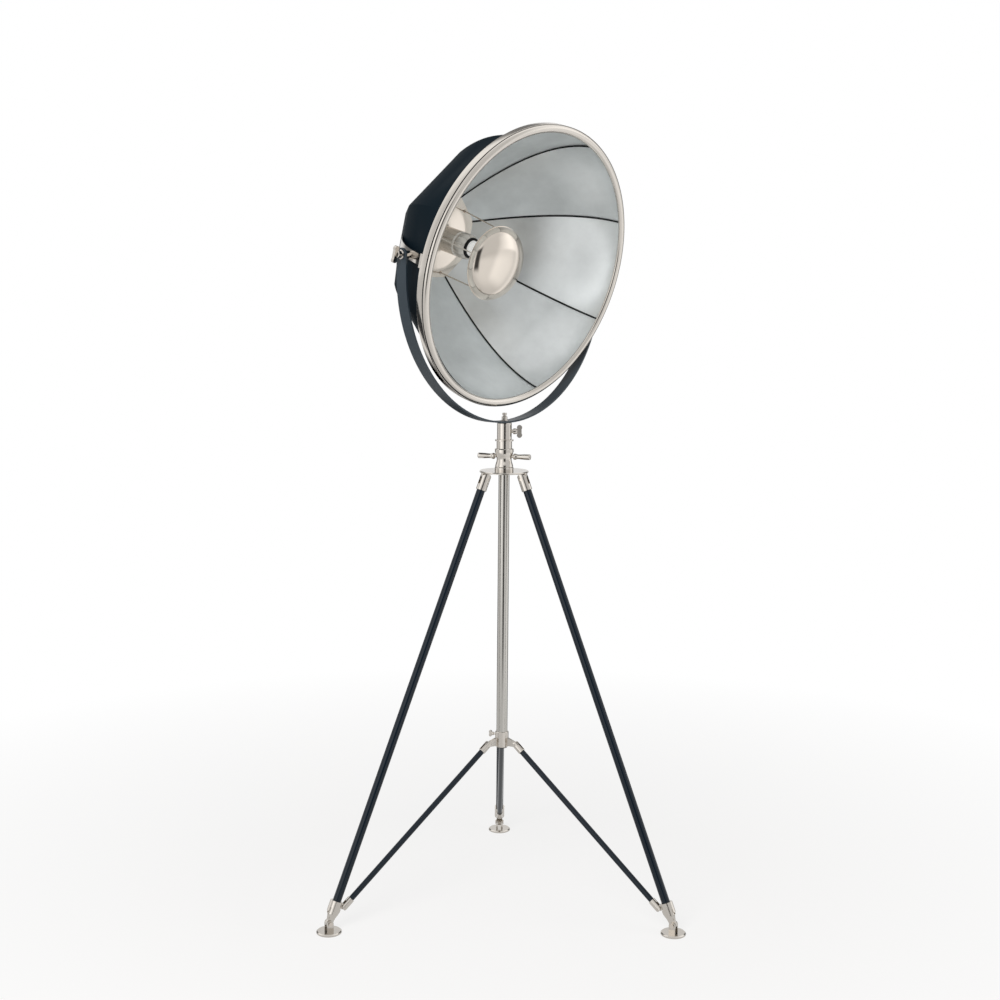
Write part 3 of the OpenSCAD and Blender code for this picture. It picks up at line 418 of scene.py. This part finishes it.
def emboss(tree, shader, relief, strength, height_mm):
    """Gives the surface a fine relief."""
    bump = add(tree, "ShaderNodeBump", [("Height", relief)], in_Strength=strength, in_Distance=height_mm * MM)
    tree.links.new(bump.outputs["Normal"], shader.inputs["Normal"])


def plated(name, hex_code, rough, grain_mm, relief_mm):
    """Metal plate: polished, with faint clouding in its gloss and a slight waviness under it."""
    material, tree, shader, _ = new_finish(name)
    place = object_place(tree)
    cloud = noise(tree, place, 1 / (12 * grain_mm * MM), 4)
    tint(tree, shader, cloud, hex_code, 0.93)
    roughen(tree, shader, cloud, *rough)
    emboss(tree, shader, noise(tree, place, 1 / (grain_mm * MM), 2), 0.12, relief_mm)
    shader.inputs["Metallic"].default_value = 1.0
    return material


def painted(name, hex_code, rough, peel_mm, gloss):
    """Sprayed paint: an even coat whose fine orange peel breaks up the highlights."""
    material, tree, shader, _ = new_finish(name)
    place = object_place(tree)
    # Clouds in the coat are about 110 mm across
    cloud = noise(tree, place, 9, 3)
    tint(tree, shader, cloud, hex_code, 0.8)
    roughen(tree, shader, cloud, *rough)
    emboss(tree, shader, noise(tree, place, 1 / (peel_mm * MM), 2), 0.06, 0.3)
    shader.inputs["IOR"].default_value = 1.5
    shader.inputs["Specular IOR Level"].default_value = gloss
    return material


def brushed(name, hex_code):
    """Brushed tube: long fine scratches run up the tube and stretch its highlights."""
    material, tree, shader, _ = new_finish(name)
    # Scratches are about 0.8 mm apart and 60 mm long, coarser than real ones so that they show
    stretch = add(tree, "ShaderNodeMapping", [("Vector", object_place(tree))], in_Scale=(1250, 1250, 17))
    scratch = noise(tree, stretch.outputs["Vector"], 1, 3)
    tint(tree, shader, scratch, hex_code, 0.8)
    roughen(tree, shader, scratch, 0.1, 0.2)
    emboss(tree, shader, scratch, 0.1, 0.02)
    shader.inputs["Metallic"].default_value = 1.0
    return material


def reflector_sheet(name, hex_code):
    """Satin silver sheet: rolled metal that scatters the light, so each petal takes an even tone of its own,
    with its gloss clouded in soft patches, as in the photograph."""
    material, tree, shader, _ = new_finish(name)
    place = object_place(tree)
    # Patches are about 90 mm across, the stipple about 2.5 mm
    patch = noise(tree, place, 11, 4, 0.6)
    tint(tree, shader, spread(tree, patch, -0.6, 1.6), hex_code, 0.8)
    roughen(tree, shader, patch, 0.24, 0.42)
    emboss(tree, shader, noise(tree, place, 400, 2), 0.15, 0.2)
    # Under 1, as the satin scatters part of the light like paint
    shader.inputs["Metallic"].default_value = 0.72
    return material


def opal_glass_with_painted_glow(name, hex_code):
    """Opal lamp glass: white all through, with a clear gloss, a faint mottle and a faint painted glow."""
    material, tree, shader, _ = new_finish(name)
    mottle = noise(tree, object_place(tree), 60, 2)
    tint(tree, shader, mottle, hex_code, 0.95)
    roughen(tree, shader, mottle, 0.12, 0.2)
    # Painted light: a faint emission stands in for light and keeps the glass white in the shade of the bowl
    shader.inputs["Emission Color"].default_value = (1, 1, 1, 1)
    shader.inputs["Emission Strength"].default_value = 0.35
    return material


FINISHES = {}


def finish(slot):
    """The material of a record slot, or of the yoke's bar as strap_lit_black, made once."""
    if slot not in FINISHES:
        tone = bpy.context.scene.spot_finish
        makers = {
            # Satin nickel softens the edges of what it mirrors
            "nickel": lambda: plated("satin_nickel_plate", tone.nickel, (0.12, 0.2), 1.5, 0.05),
            # Polished nickel mirrors the studio almost clearly, with slow waves
            "bright_nickel": lambda: plated("polished_nickel_plate", tone.bright, (0.09, 0.15), 6, 0.04),
            # Silver sheet gives each petal one soft tone
            "satin_silver": lambda: reflector_sheet("satin_silver_sheet", tone.silver),
            # Satin paint leaves a tube nearly black, with a softly lighter side
            "black_steel": lambda: painted("satin_black_paint", tone.paint, (0.1, 0.16), 1.2, 0.35),
            # The bar gets a greyer copy of the black paint, painted light for the light its flat faces catch,
            # and it lightens towards its edges
            "strap_lit_black": lambda: painted("strap_paint", tone.strap, (0.3, 0.42), 1.2, 0.45),
            # The shell's paint is almost flat, so its facets differ by tone alone
            "shell_black": lambda: painted("blue_black_paint", tone.shell, (0.5, 0.62), 1.5, 0.03),
            # The column's scratches blur its reflections sideways
            "column_steel": lambda: brushed("brushed_column_steel", tone.column),
            # Opal glass is white; a painted glow keeps it bright in the shade of the bowl
            "lamp_white": lambda: opal_glass_with_painted_glow("opal_lamp_glass", tone.bulb),
            # Ribs, gasket and other insulators are flat black; on the gasket, the black is also painted shade
            # for the groove between the mouth's bead and band
            "black_insulator": lambda: painted("matt_black_insulator", tone.black, (0.5, 0.62), 1.0, 0.2),
        }
        FINISHES[slot] = makers[slot]()
    return FINISHES[slot]


def even_shading():
    """A geometry node group that welds a solid's loose triangles and smooths its edges up to 32 degrees."""
    name = "even_shading"
    if name in bpy.data.node_groups:
        return bpy.data.node_groups[name]
    tree = bpy.data.node_groups.new(name, "GeometryNodeTree")
    tree.interface.new_socket("Geometry", in_out="INPUT", socket_type="NodeSocketGeometry")
    tree.interface.new_socket("Geometry", in_out="OUTPUT", socket_type="NodeSocketGeometry")
    source = add(tree, "NodeGroupInput")
    weld = add(tree, "GeometryNodeMergeByDistance", [("Geometry", source.outputs[0])], in_Distance=0.01 * MM)
    corner = add(tree, "GeometryNodeInputMeshEdgeAngle")
    flat = add(tree, "FunctionNodeCompare", [(0, corner.outputs["Unsigned Angle"])], operation="LESS_EQUAL",
               in_1=math.radians(32))
    faces = add(tree, "GeometryNodeSetShadeSmooth", [("Geometry", weld.outputs[0])], domain="FACE")
    edges = add(tree, "GeometryNodeSetShadeSmooth",
                [("Geometry", faces.outputs[0]), ("Shade Smooth", flat.outputs["Result"])], domain="EDGE")
    add(tree, "NodeGroupOutput", [(0, edges.outputs[0])])
    return tree


# ---- Studio that metal sees ----

# Smooth edges of its parts, as sines: facing is 1 towards the camera, height is 1 straight up
ROOM_EDGE = (-0.2, 0.2)                 # facing, from the backdrop to the room
FLAG_INSIDE = (-0.92, -0.82)            # facing, from the backdrop's middle to the flags
FLAG_OUTSIDE = (-0.6, -0.4)             # facing, from the flags to the backdrop's sides
FOOT_SIDE = (-0.7, -0.5)                # facing, where the backdrop's foot ends
FOOT_TOP = (-0.4, -0.2)                 # height of the backdrop's foot
CEILING_EDGE = (0.4, 0.9)               # height where the ceiling starts
WALL_TURN = 0.35                        # wall's turn to the camera's left, in radians
WALL_EDGE = (0.6, 0.95)                 # cosine from the wall's middle
WALL_FOOT = (-0.6, -0.2)                # height where the wall dims to its foot
WALL_FOOT_SHARE = 0.4
GROUND_TOP = (-0.09, -0.05)             # height where the floor ends
GROUND_BACK = (-0.45, -0.3)             # facing, where the floor meets the backdrop
BOUNCE_TURN = -0.8                      # bright floor's turn to the camera's left, in radians
BOUNCE_EDGE = (0.3, 0.8)                # cosine from the bright floor's middle
BOUNCE_TOP = (-0.3, -0.1)               # height where the bright floor ends
PATCH_FRONT = (0.05, 0.15)              # cosine that keeps a patch on one side
PATCH_BLUR = 0.12                       # half the blur of a patch's ends

# Tall patches as (turn to the camera's left in radians, half width, lower end, upper end, brightness)
DARK_CORNER = (-0.1, 0.32, -0.55, 0.35, 0.95)
LEFT_BOX = (0.85, 0.28, -0.3, 0.6, 0.5)
RIGHT_BOX = (-1.62, 0.3, -0.6, 0.45, 0.25)

# Studio lamps as places (to the view's left, towards the camera, up) and sizes, in metres
LAMPS = {"key": ((1.0, 3.0, 2.6), (2.2, 2.2)), "fill": ((-2.8, 1.2, 1.6), (1.6, 3.0))}
LAMP_AIM = 1.1                          # height that the lamps face
SIGHT_HEIGHT = 1.4                      # height from which the floor's reflection is reckoned
FLOOR_RINGS = (1e-4, 2, 20)             # radii of the floor's rings of points
FLOOR_COLUMNS = 96
FLOOR_FADE = (0.6, 2.2)                 # radii between which the floor turns from pale to white
FLOOR_WHITE = 0.78                      # share of white in the pale floor


def view_axes(stage):
    """The view's left, and the direction to the camera, both level."""
    return (np.array([-math.cos(stage.heading), math.sin(stage.heading), 0]),
            np.array([-math.sin(stage.heading), -math.cos(stage.heading), 0]))


def studio(tree, way, stage):
    """Brightness of the studio that metal sees, at a direction from the lamp: the backdrop behind the lamp
    with dark flags around its middle, a dimmer room and floor behind the camera, a bright wall and a bright
    part of the floor, a dark corner where the camera stands, and a tall soft box to either side."""
    left, near = view_axes(stage)

    def combine(operation, first, second):
        return add(tree, "ShaderNodeMath", [(0, first), (1, second)], operation=operation).outputs[0]

    def toward(side):
        return add(tree, "ShaderNodeVectorMath", [(0, way)], operation="DOT_PRODUCT",
                   in_1=side.tolist()).outputs["Value"]

    def at_turn(turn):
        return near * math.cos(turn) + left * math.sin(turn)

    def step(value, edge, low, high):
        return add(tree, "ShaderNodeMapRange", [("Value", value)], interpolation_type="SMOOTHSTEP",
                   in_From_Min=edge[0], in_From_Max=edge[1], in_To_Min=low, in_To_Max=high).outputs["Result"]

    facing = toward(near)
    height = toward(np.array([0.0, 0.0, 1.0]))

    def patch(turn, half_width, bottom, top, brightness):
        """A tall patch at a turn to the left of the camera, between two heights."""
        aside = add(tree, "ShaderNodeMath", [(0, toward(at_turn(turn + math.pi / 2)))],
                    operation="ABSOLUTE").outputs[0]
        across = step(aside, (half_width * 0.5, half_width * 1.2), brightness, 0)
        front = combine("MULTIPLY", across, step(toward(at_turn(turn)), PATCH_FRONT, 0, 1))
        over = combine("MULTIPLY", front, step(height, (bottom - PATCH_BLUR, bottom + PATCH_BLUR), 0, 1))
        return combine("MULTIPLY", over, step(height, (top - PATCH_BLUR, top + PATCH_BLUR), 1, 0))

    glow = combine("ADD", step(facing, ROOM_EDGE, stage.backdrop, stage.room),
                   step(height, CEILING_EDGE, 0, stage.ceiling))
    # Dark flags around the backdrop give metal its thin dark outlines
    flags = combine("MULTIPLY", step(facing, FLAG_INSIDE, stage.middle, stage.flag),
                    step(facing, FLAG_OUTSIDE, 1, 0))
    foot = combine("MULTIPLY", step(height, FOOT_TOP, stage.foot, 0), step(facing, FOOT_SIDE, 1, 0))
    glow = combine("ADD", glow, combine("ADD", flags, foot))
    ground = combine("MULTIPLY", step(height, GROUND_TOP, 1, 0), step(facing, GROUND_BACK, 0, 1))
    glow = add(tree, "ShaderNodeMix", [("Factor", ground), ("A", glow)], data_type="FLOAT",
               in_3=stage.ground).outputs[0]
    # The wall lights the petals that face it, and the bright floor the ring
    wall = combine("MULTIPLY", step(toward(at_turn(WALL_TURN)), WALL_EDGE, 0, stage.wall),
                   step(height, WALL_FOOT, WALL_FOOT_SHARE, 1))
    bounce = combine("MULTIPLY", step(toward(at_turn(BOUNCE_TURN)), BOUNCE_EDGE, 0, stage.bounce),
                     step(height, BOUNCE_TOP, 1, 0))
    glow = combine("ADD", combine("ADD", glow, wall), bounce)
    kept = add(tree, "ShaderNodeMath", [(1, patch(*DARK_CORNER))], operation="SUBTRACT", in_0=1).outputs[0]
    glow = combine("MULTIPLY", glow, kept)
    return combine("ADD", combine("ADD", glow, patch(*LEFT_BOX)), patch(*RIGHT_BOX))


# ---- Operators ----

class SPOT_OT_petals(bpy.types.Operator):
    """Eight smooth petals, each a sheet between two seams"""
    bl_idname = "spot.petals"
    bl_label = "Reflector petals"

    def execute(self, context):
        bowl = context.scene.spot_bowl
        depth = np.linspace(0, bowl.depth, BOWL_ROWS)[:, None]
        across = np.linspace(0, 1, PETAL_COLUMNS)[None, :]
        seam = (bowl.rib_width / 2 - bowl.seam_lap) / bowl_radius(depth)
        turn = -HALF_SIDE + seam + across * 2 * (HALF_SIDE - seam)
        share = side_share(turn, depth)
        for k in range(SIDES):
            turn_here = turn + 2 * HALF_SIDE * k
            inner, outer = (to_world(around_axis((bowl_radius(depth) + lift) * share, turn_here, -depth))
                            for lift in (0, bowl.petal_wall))
            tie(put_sheet(f"petal_{k + 1}", inner, outer, finish("satin_silver")),
                "head", "reflector_petals")
        return {"FINISHED"}


class SPOT_OT_ribs(bpy.types.Operator):
    """Eight dark ribs over the seams, each a half-round bar on a narrow key"""
    bl_idname = "spot.ribs"
    bl_label = "Seam ribs"

    def execute(self, context):
        bowl = context.scene.spot_bowl
        depth = np.linspace(0, bowl.depth, BOWL_ROWS)[:, None]
        half = bowl.rib_width / 2
        key = half - bowl.key_inset
        arc = np.linspace(0, np.pi, 11)
        # Section as (across, out from the corner): a half-round face towards the lamp, then the key behind it
        across = np.concatenate([half * np.cos(arc), [-key, -key, key, key]])
        out = np.concatenate([-bowl.rib_base - bowl.rib_rise * np.sin(arc),
                              [-bowl.rib_base, bowl.petal_wall, bowl.petal_wall, -bowl.rib_base]])
        for k in range(SIDES):
            turn = 2 * HALF_SIDE * k + HALF_SIDE
            local = around_axis(bowl_radius(depth) + out, turn, -depth)
            local = local + across[:, None] * (math.cos(turn), -math.sin(turn), 0.0)
            tie(put_bar(f"seam_rib_{k + 1}", to_world(local), finish("black_insulator"), 50),
                "head", "seam_ribs")
        return {"FINISHED"}


class SPOT_OT_shell(bpy.types.Operator):
    """The faceted outer shell, one closed skin with its flat back"""
    bl_idname = "spot.shell"
    bl_label = "Outer shell"

    def execute(self, context):
        bowl = context.scene.spot_bowl
        hole = bowl.back_hole
        skin_depth = np.concatenate([np.linspace(0, bowl.crease_depth, SHELL_ROWS[0]),
                                     np.linspace(bowl.crease_depth, bowl.back_depth, SHELL_ROWS[1])[1:]])
        inner_depth = np.minimum(skin_depth, bowl.back_depth - bowl.shell_wall)
        # Profile: back along the skin, in over the flat back to the hole, and forward along the inside
        depth = np.concatenate([skin_depth, [bowl.back_depth, bowl.back_depth - bowl.shell_wall],
                                inner_depth[::-1]])[:, None]
        radius = np.concatenate([shell_radius(skin_depth), [hole, hole],
                                 (shell_radius(inner_depth) - bowl.shell_wall)[::-1]])[:, None]
        turn = full_turn(SIDES * SHELL_COLUMNS) + HALF_SIDE
        share = np.where(radius == hole, 1.0, side_share(turn, depth))
        points = to_world(around_axis(radius * share, turn, -depth)).reshape(-1, 3)
        faces = outward(points, grid_faces(len(depth), turn.size, True, True))
        tie(put_mesh("shell_skin", points, faces, finish("shell_black"), 22), "head",
            "outer_shell")
        return {"FINISHED"}


class SPOT_OT_turned(bpy.types.Operator):
    """The turned pieces that show most: mouth ring, band and dome"""
    bl_idname = "spot.turned"
    bl_label = "Mouth ring and dome"

    def execute(self, context):
        ring = context.scene.spot_ring
        for name, profile, node in (("mouth_bead", self.bead(ring), "rim_ring"),
                                    ("mouth_band", self.channel(ring), "rim_band")):
            tie(put_ring(name, profile, finish("nickel"), columns=RING_COLUMNS), "head", node)
        dome = put_ring("dome_skin", self.dome(ring), finish("bright_nickel"), sharp=60, drop=ring.dome_drop)
        tie(dome, "head", "dome_mirror")
        return {"FINISHED"}

    def bead(self, ring):
        """Half an ellipse over the mouth."""
        arc = np.linspace(0, np.pi, 25)
        half = ring.face / 2
        return np.stack([ring.rim - half + half * np.cos(arc), ring.rise * np.sin(arc)], axis=-1)

    def channel(self, ring):
        """An outer wall with rounded edges, and a flat back that reaches in to the shell."""
        back = ring.groove + ring.band
        inside = ring.rim - ring.band_wall
        shell = float(shell_radius(back)) + ring.band_gap
        bend = np.linspace(0, 0.5 * np.pi, 7)
        front = np.stack([ring.rim - ring.band_front + ring.band_front * np.sin(bend),
                          -ring.groove - ring.band_front + ring.band_front * np.cos(bend)], axis=-1)
        rear = np.stack([ring.rim - ring.band_rear + ring.band_rear * np.cos(bend),
                         -back + ring.band_rear - ring.band_rear * np.sin(bend)], axis=-1)
        flat = ring.band_wall - back
        return np.concatenate([[[inside, -ring.groove]], front, rear,
                               [[shell, -back], [shell, flat], [inside, flat]]])

    def dome(self, ring):
        """A dome flatter in the middle than a ball, radius * sin(t)^power out and rise * cos(t) forward,
        with a lip rolled to a small bead."""
        swing = np.linspace(0.5 * np.pi, 0, 60)
        outer, inner = (np.stack([(ring.dome - wall) * np.sin(swing) ** ring.dome_power,
                                  (ring.dome_rise - wall) * np.cos(swing)], axis=-1)
                        for wall in (0, ring.dome_wall))
        roll = np.linspace(-0.5 * np.pi, 0.5 * np.pi, 13)
        bead, hem = ring.dome_bead, ring.dome - ring.dome_hem
        lip = np.stack([ring.dome + ring.dome_lip - bead + bead * np.cos(roll), -bead + bead * np.sin(roll)],
                       axis=-1)
        profile = np.concatenate([inner[::-1], [[hem, -bead], [hem, -2 * bead]], lip, outer])
        return profile - (0, ring.dome_depth)


class SPOT_OT_fittings(bpy.types.Operator):
    """The dome's three rods, each on a small foot, and the clamp's two handles"""
    bl_idname = "spot.fittings"
    bl_label = "Rods and handles"

    def execute(self, context):
        size = context.scene.spot_fitting
        self.put_rods(size, context.scene.spot_ring, context.scene.spot_bowl.depth)
        self.put_handles(size)
        return {"FINISHED"}

    def put_rods(self, size, ring, depth):
        """Rods from the centre plate to the dome's lip, and a foot under each."""
        foot = np.array([(0, 0), (4, 0), (4, 3), (3, 4), (0, 4)]) * MM
        for k, turn in enumerate(np.radians([45, 165, 285])):
            root = around_axis(size.rod_root, turn, -depth)
            tip = around_axis(ring.dome - size.rod_inset, turn, -ring.dome_depth - size.rod_seat,
                              ring.dome_drop)
            base, end = to_world(root), to_world(tip)
            reach = np.linalg.norm(end - base)
            rod = [(0, 0), (size.rod, 0), (size.rod, reach), (0, reach)]
            forward = to_world(root + (0, 0, 1)) - base
            for name, profile, along in (("dome_rod", rod, end - base), ("dome_rod_foot", foot, forward)):
                tie(put_spun(f"{name}_{k + 1}", profile, base, along, finish("bright_nickel")),
                    "head", "dome_rods")

    def put_handles(self, size):
        """Opposite handles: a collar, a thin waist and a grip that swells to its rounded end."""
        # Profiles as (radius, distance past the neck) and as (radius, distance past the handle's end), in mm
        grip = np.array([(5.5, 0.6), (6.6, 1.8), (7, 3), (7, 5), (6.4, 7), (5.5, 9), (5.2, 12), (5.5, 17),
                         (6.1, 26)]) * MM + (0, size.handle_neck)
        end = np.array([(6.3, -5), (6.3, -3), (6, -1.6), (5.2, -0.6), (3.8, 0), (0, 0)]) * MM + (
            0, size.handle_reach)
        pin = [(0, size.handle_root), (size.handle_pin, size.handle_root),
               (size.handle_pin, size.handle_neck)]
        for k in range(2):
            turn = size.handle_turn + k * math.pi
            handle = put_spun(f"clamp_handle_{k + 1}", np.concatenate([pin, grip, end]),
                              np.array([0, 0, size.handle_height]),
                              np.array([math.cos(turn), math.sin(turn), 0]), finish("nickel"))
            tie(handle, "clamp", "clamp_handles")


class SPOT_OT_finishes(bpy.types.Operator):
    """Plate, paint and shading of the pieces that stay as they were built"""
    bl_idname = "spot.finishes"
    bl_label = "Finishes"

    def execute(self, context):
        slots = {part["node"]: part["material_slot"] for part in frame["record"]["subparts"]}
        for name, obj in NODES.items():
            for material_slot in obj.material_slots:
                material_slot.material = finish("strap_lit_black" if name == "yoke_strap" else slots[name])
            modifier = obj.modifiers.new("even_shading", "NODES")
            modifier.node_group = even_shading()
        return {"FINISHED"}


class SPOT_OT_stage(bpy.types.Operator):
    """Camera at the photograph's place, pale floor and soft studio light"""
    bl_idname = "spot.stage"
    bl_label = "Stage"

    def execute(self, context):
        stage = context.scene.spot_stage
        self.put_camera(context, stage)
        self.put_floor(stage)
        self.put_world(context, stage)
        self.put_lamps(context, stage)
        context.scene.view_settings.view_transform = "Standard"
        return {"FINISHED"}

    def put_camera(self, context, stage):
        """Right, up and back columns from the heading, pitch and roll."""
        ahead = Vector((math.sin(stage.heading) * math.cos(stage.pitch),
                        math.cos(stage.heading) * math.cos(stage.pitch), -math.sin(stage.pitch)))
        side = Vector((math.cos(stage.heading), -math.sin(stage.heading), 0))
        over = side.cross(ahead)
        right = side * math.cos(stage.roll) + over * math.sin(stage.roll)
        up = over * math.cos(stage.roll) - side * math.sin(stage.roll)
        data = bpy.data.cameras.new("photo_camera")
        data.lens = stage.lens
        data.sensor_width = 36
        data.sensor_fit = "HORIZONTAL"
        data.clip_end = 100
        camera = bpy.data.objects.new("photo_camera", data)
        turn = Matrix((right, up, -ahead)).transposed().to_4x4()
        camera.matrix_world = Matrix.Translation(stage.camera_place) @ turn
        context.scene.collection.objects.link(camera)
        context.scene.camera = camera

    def put_floor(self, stage):
        """A round pale floor, 40 m across, that keeps the lamp's shadow and turns white with distance."""
        turn = full_turn(FLOOR_COLUMNS)
        radius = np.array(FLOOR_RINGS)[:, None]
        points = np.stack([radius * np.cos(turn), radius * np.sin(turn), np.zeros((len(radius), turn.size))],
                          axis=-1).reshape(-1, 3)
        material, tree, shader, output = new_finish("pale_floor")
        shader.inputs["Base Color"].default_value = (0.8, 0.77, 0.74, 1)
        shader.inputs["Roughness"].default_value = 0.9
        shader.inputs["Specular IOR Level"].default_value = 0.1
        rays = add(tree, "ShaderNodeLightPath")
        glow = add(tree, "ShaderNodeEmission", in_Color=(1, 1, 1, 1), in_Strength=1)
        place = object_place(tree)
        distance = add(tree, "ShaderNodeVectorMath", [(0, place)], operation="LENGTH")
        white = add(tree, "ShaderNodeMapRange", [("Value", distance.outputs["Value"])],
                    in_From_Min=FLOOR_FADE[0], in_From_Max=FLOOR_FADE[1], in_To_Min=FLOOR_WHITE)
        share = add(tree, "ShaderNodeMath", [(0, rays.outputs["Is Camera Ray"]),
                                             (1, white.outputs["Result"])], operation="MULTIPLY")
        seen = add(tree, "ShaderNodeMixShader", [(0, share.outputs[0]), (1, shader.outputs["BSDF"]),
                                                 (2, glow.outputs["Emission"])])
        # Metal sees the studio's own floor, as it looks from the lamp's head
        sight = add(tree, "ShaderNodeVectorMath", [(0, place)], operation="SUBTRACT",
                    in_1=(0, 0, SIGHT_HEIGHT))
        way = add(tree, "ShaderNodeVectorMath", [(0, sight.outputs["Vector"])], operation="NORMALIZE")
        mirror = add(tree, "ShaderNodeEmission", [("Strength", studio(tree, way.outputs["Vector"], stage))],
                     in_Color=(1, 1, 1, 1))
        whole = add(tree, "ShaderNodeMixShader", [(0, rays.outputs["Is Glossy Ray"]), (1, seen.outputs[0]),
                                                  (2, mirror.outputs["Emission"])])
        tree.links.new(whole.outputs[0], output.inputs["Surface"])
        faces = grid_faces(len(radius), turn.size, False, True)
        put_mesh("floor", points, faces[:, ::-1], material)

    def put_world(self, context, stage):
        """White to the camera, an even light to paint, and the studio to metal."""
        world = bpy.data.worlds.new("studio")
        world.use_nodes = True
        tree = world.node_tree
        tree.nodes.clear()
        rays = add(tree, "ShaderNodeLightPath")
        strength = studio(tree, add(tree, "ShaderNodeTexCoord").outputs["Generated"], stage)
        mirrored = add(tree, "ShaderNodeMath", [(0, rays.outputs["Is Glossy Ray"]),
                                                (1, rays.outputs["Is Transmission Ray"])],
                       operation="MAXIMUM")
        soft = add(tree, "ShaderNodeBackground", in_Color=(1, 1, 1, 1), in_Strength=stage.ambient)
        mirror = add(tree, "ShaderNodeBackground", [("Strength", strength)], in_Color=(1, 1, 1, 1))
        white = add(tree, "ShaderNodeBackground", in_Color=(1, 1, 1, 1), in_Strength=1.0)
        lit = add(tree, "ShaderNodeMixShader", [(0, mirrored.outputs[0]), (1, soft.outputs[0]),
                                                (2, mirror.outputs[0])])
        whole = add(tree, "ShaderNodeMixShader", [(0, rays.outputs["Is Camera Ray"]), (1, lit.outputs[0]),
                                                  (2, white.outputs[0])])
        add(tree, "ShaderNodeOutputWorld", [("Surface", whole.outputs[0])])
        context.scene.world = world

    def put_lamps(self, context, stage):
        """Soft lamps for paint and floor; metal sees the studio's own soft boxes in their place."""
        left, near = map(Vector, view_axes(stage))
        aim = Vector((0, 0, LAMP_AIM))
        for name, ((aside, ahead, up), (width, height)) in LAMPS.items():
            data = bpy.data.lights.new(f"{name}_light", "AREA")
            data.energy = getattr(stage, name)
            data.shape = "RECTANGLE"
            data.size = width
            data.size_y = height
            lamp = bpy.data.objects.new(f"{name}_light", data)
            lamp.visible_glossy = False
            place = left * aside + near * ahead + Vector((0, 0, up))
            turn = (aim - place).to_track_quat("-Z", "Y").to_matrix().to_4x4()
            lamp.matrix_world = Matrix.Translation(place) @ turn
            context.scene.collection.objects.link(lamp)


class SPOT_PT_panel(bpy.types.Panel):
    """The lamp's operators in the sidebar"""
    bl_idname = "SPOT_PT_panel"
    bl_label = "Spotlight"
    bl_space_type = "VIEW_3D"
    bl_region_type = "UI"
    bl_category = "Spotlight"

    def draw(self, context):
        for operator in OPERATORS:
            self.layout.operator(operator.bl_idname)


SETTINGS = {"spot_bowl": BowlSettings, "spot_ring": RingSettings, "spot_fitting": FittingSettings,
            "spot_finish": FinishSettings, "spot_stage": StageSettings}
OPERATORS = (SPOT_OT_finishes, SPOT_OT_petals, SPOT_OT_ribs, SPOT_OT_shell, SPOT_OT_turned, SPOT_OT_fittings,
             SPOT_OT_stage)
CLASSES = (*SETTINGS.values(), *OPERATORS, SPOT_PT_panel)


def register():
    for cls in CLASSES:
        bpy.utils.register_class(cls)
    for name, group in SETTINGS.items():
        setattr(bpy.types.Scene, name, PointerProperty(type=group))


def unregister():
    for name in SETTINGS:
        delattr(bpy.types.Scene, name)
    for cls in reversed(CLASSES):
        bpy.utils.unregister_class(cls)


def main():
    register()
    bpy.ops.spot.finishes()
    bpy.ops.spot.petals()
    bpy.ops.spot.ribs()
    bpy.ops.spot.shell()
    bpy.ops.spot.turned()
    bpy.ops.spot.fittings()
    bpy.ops.spot.stage()


if __name__ == "__main__":
    main()
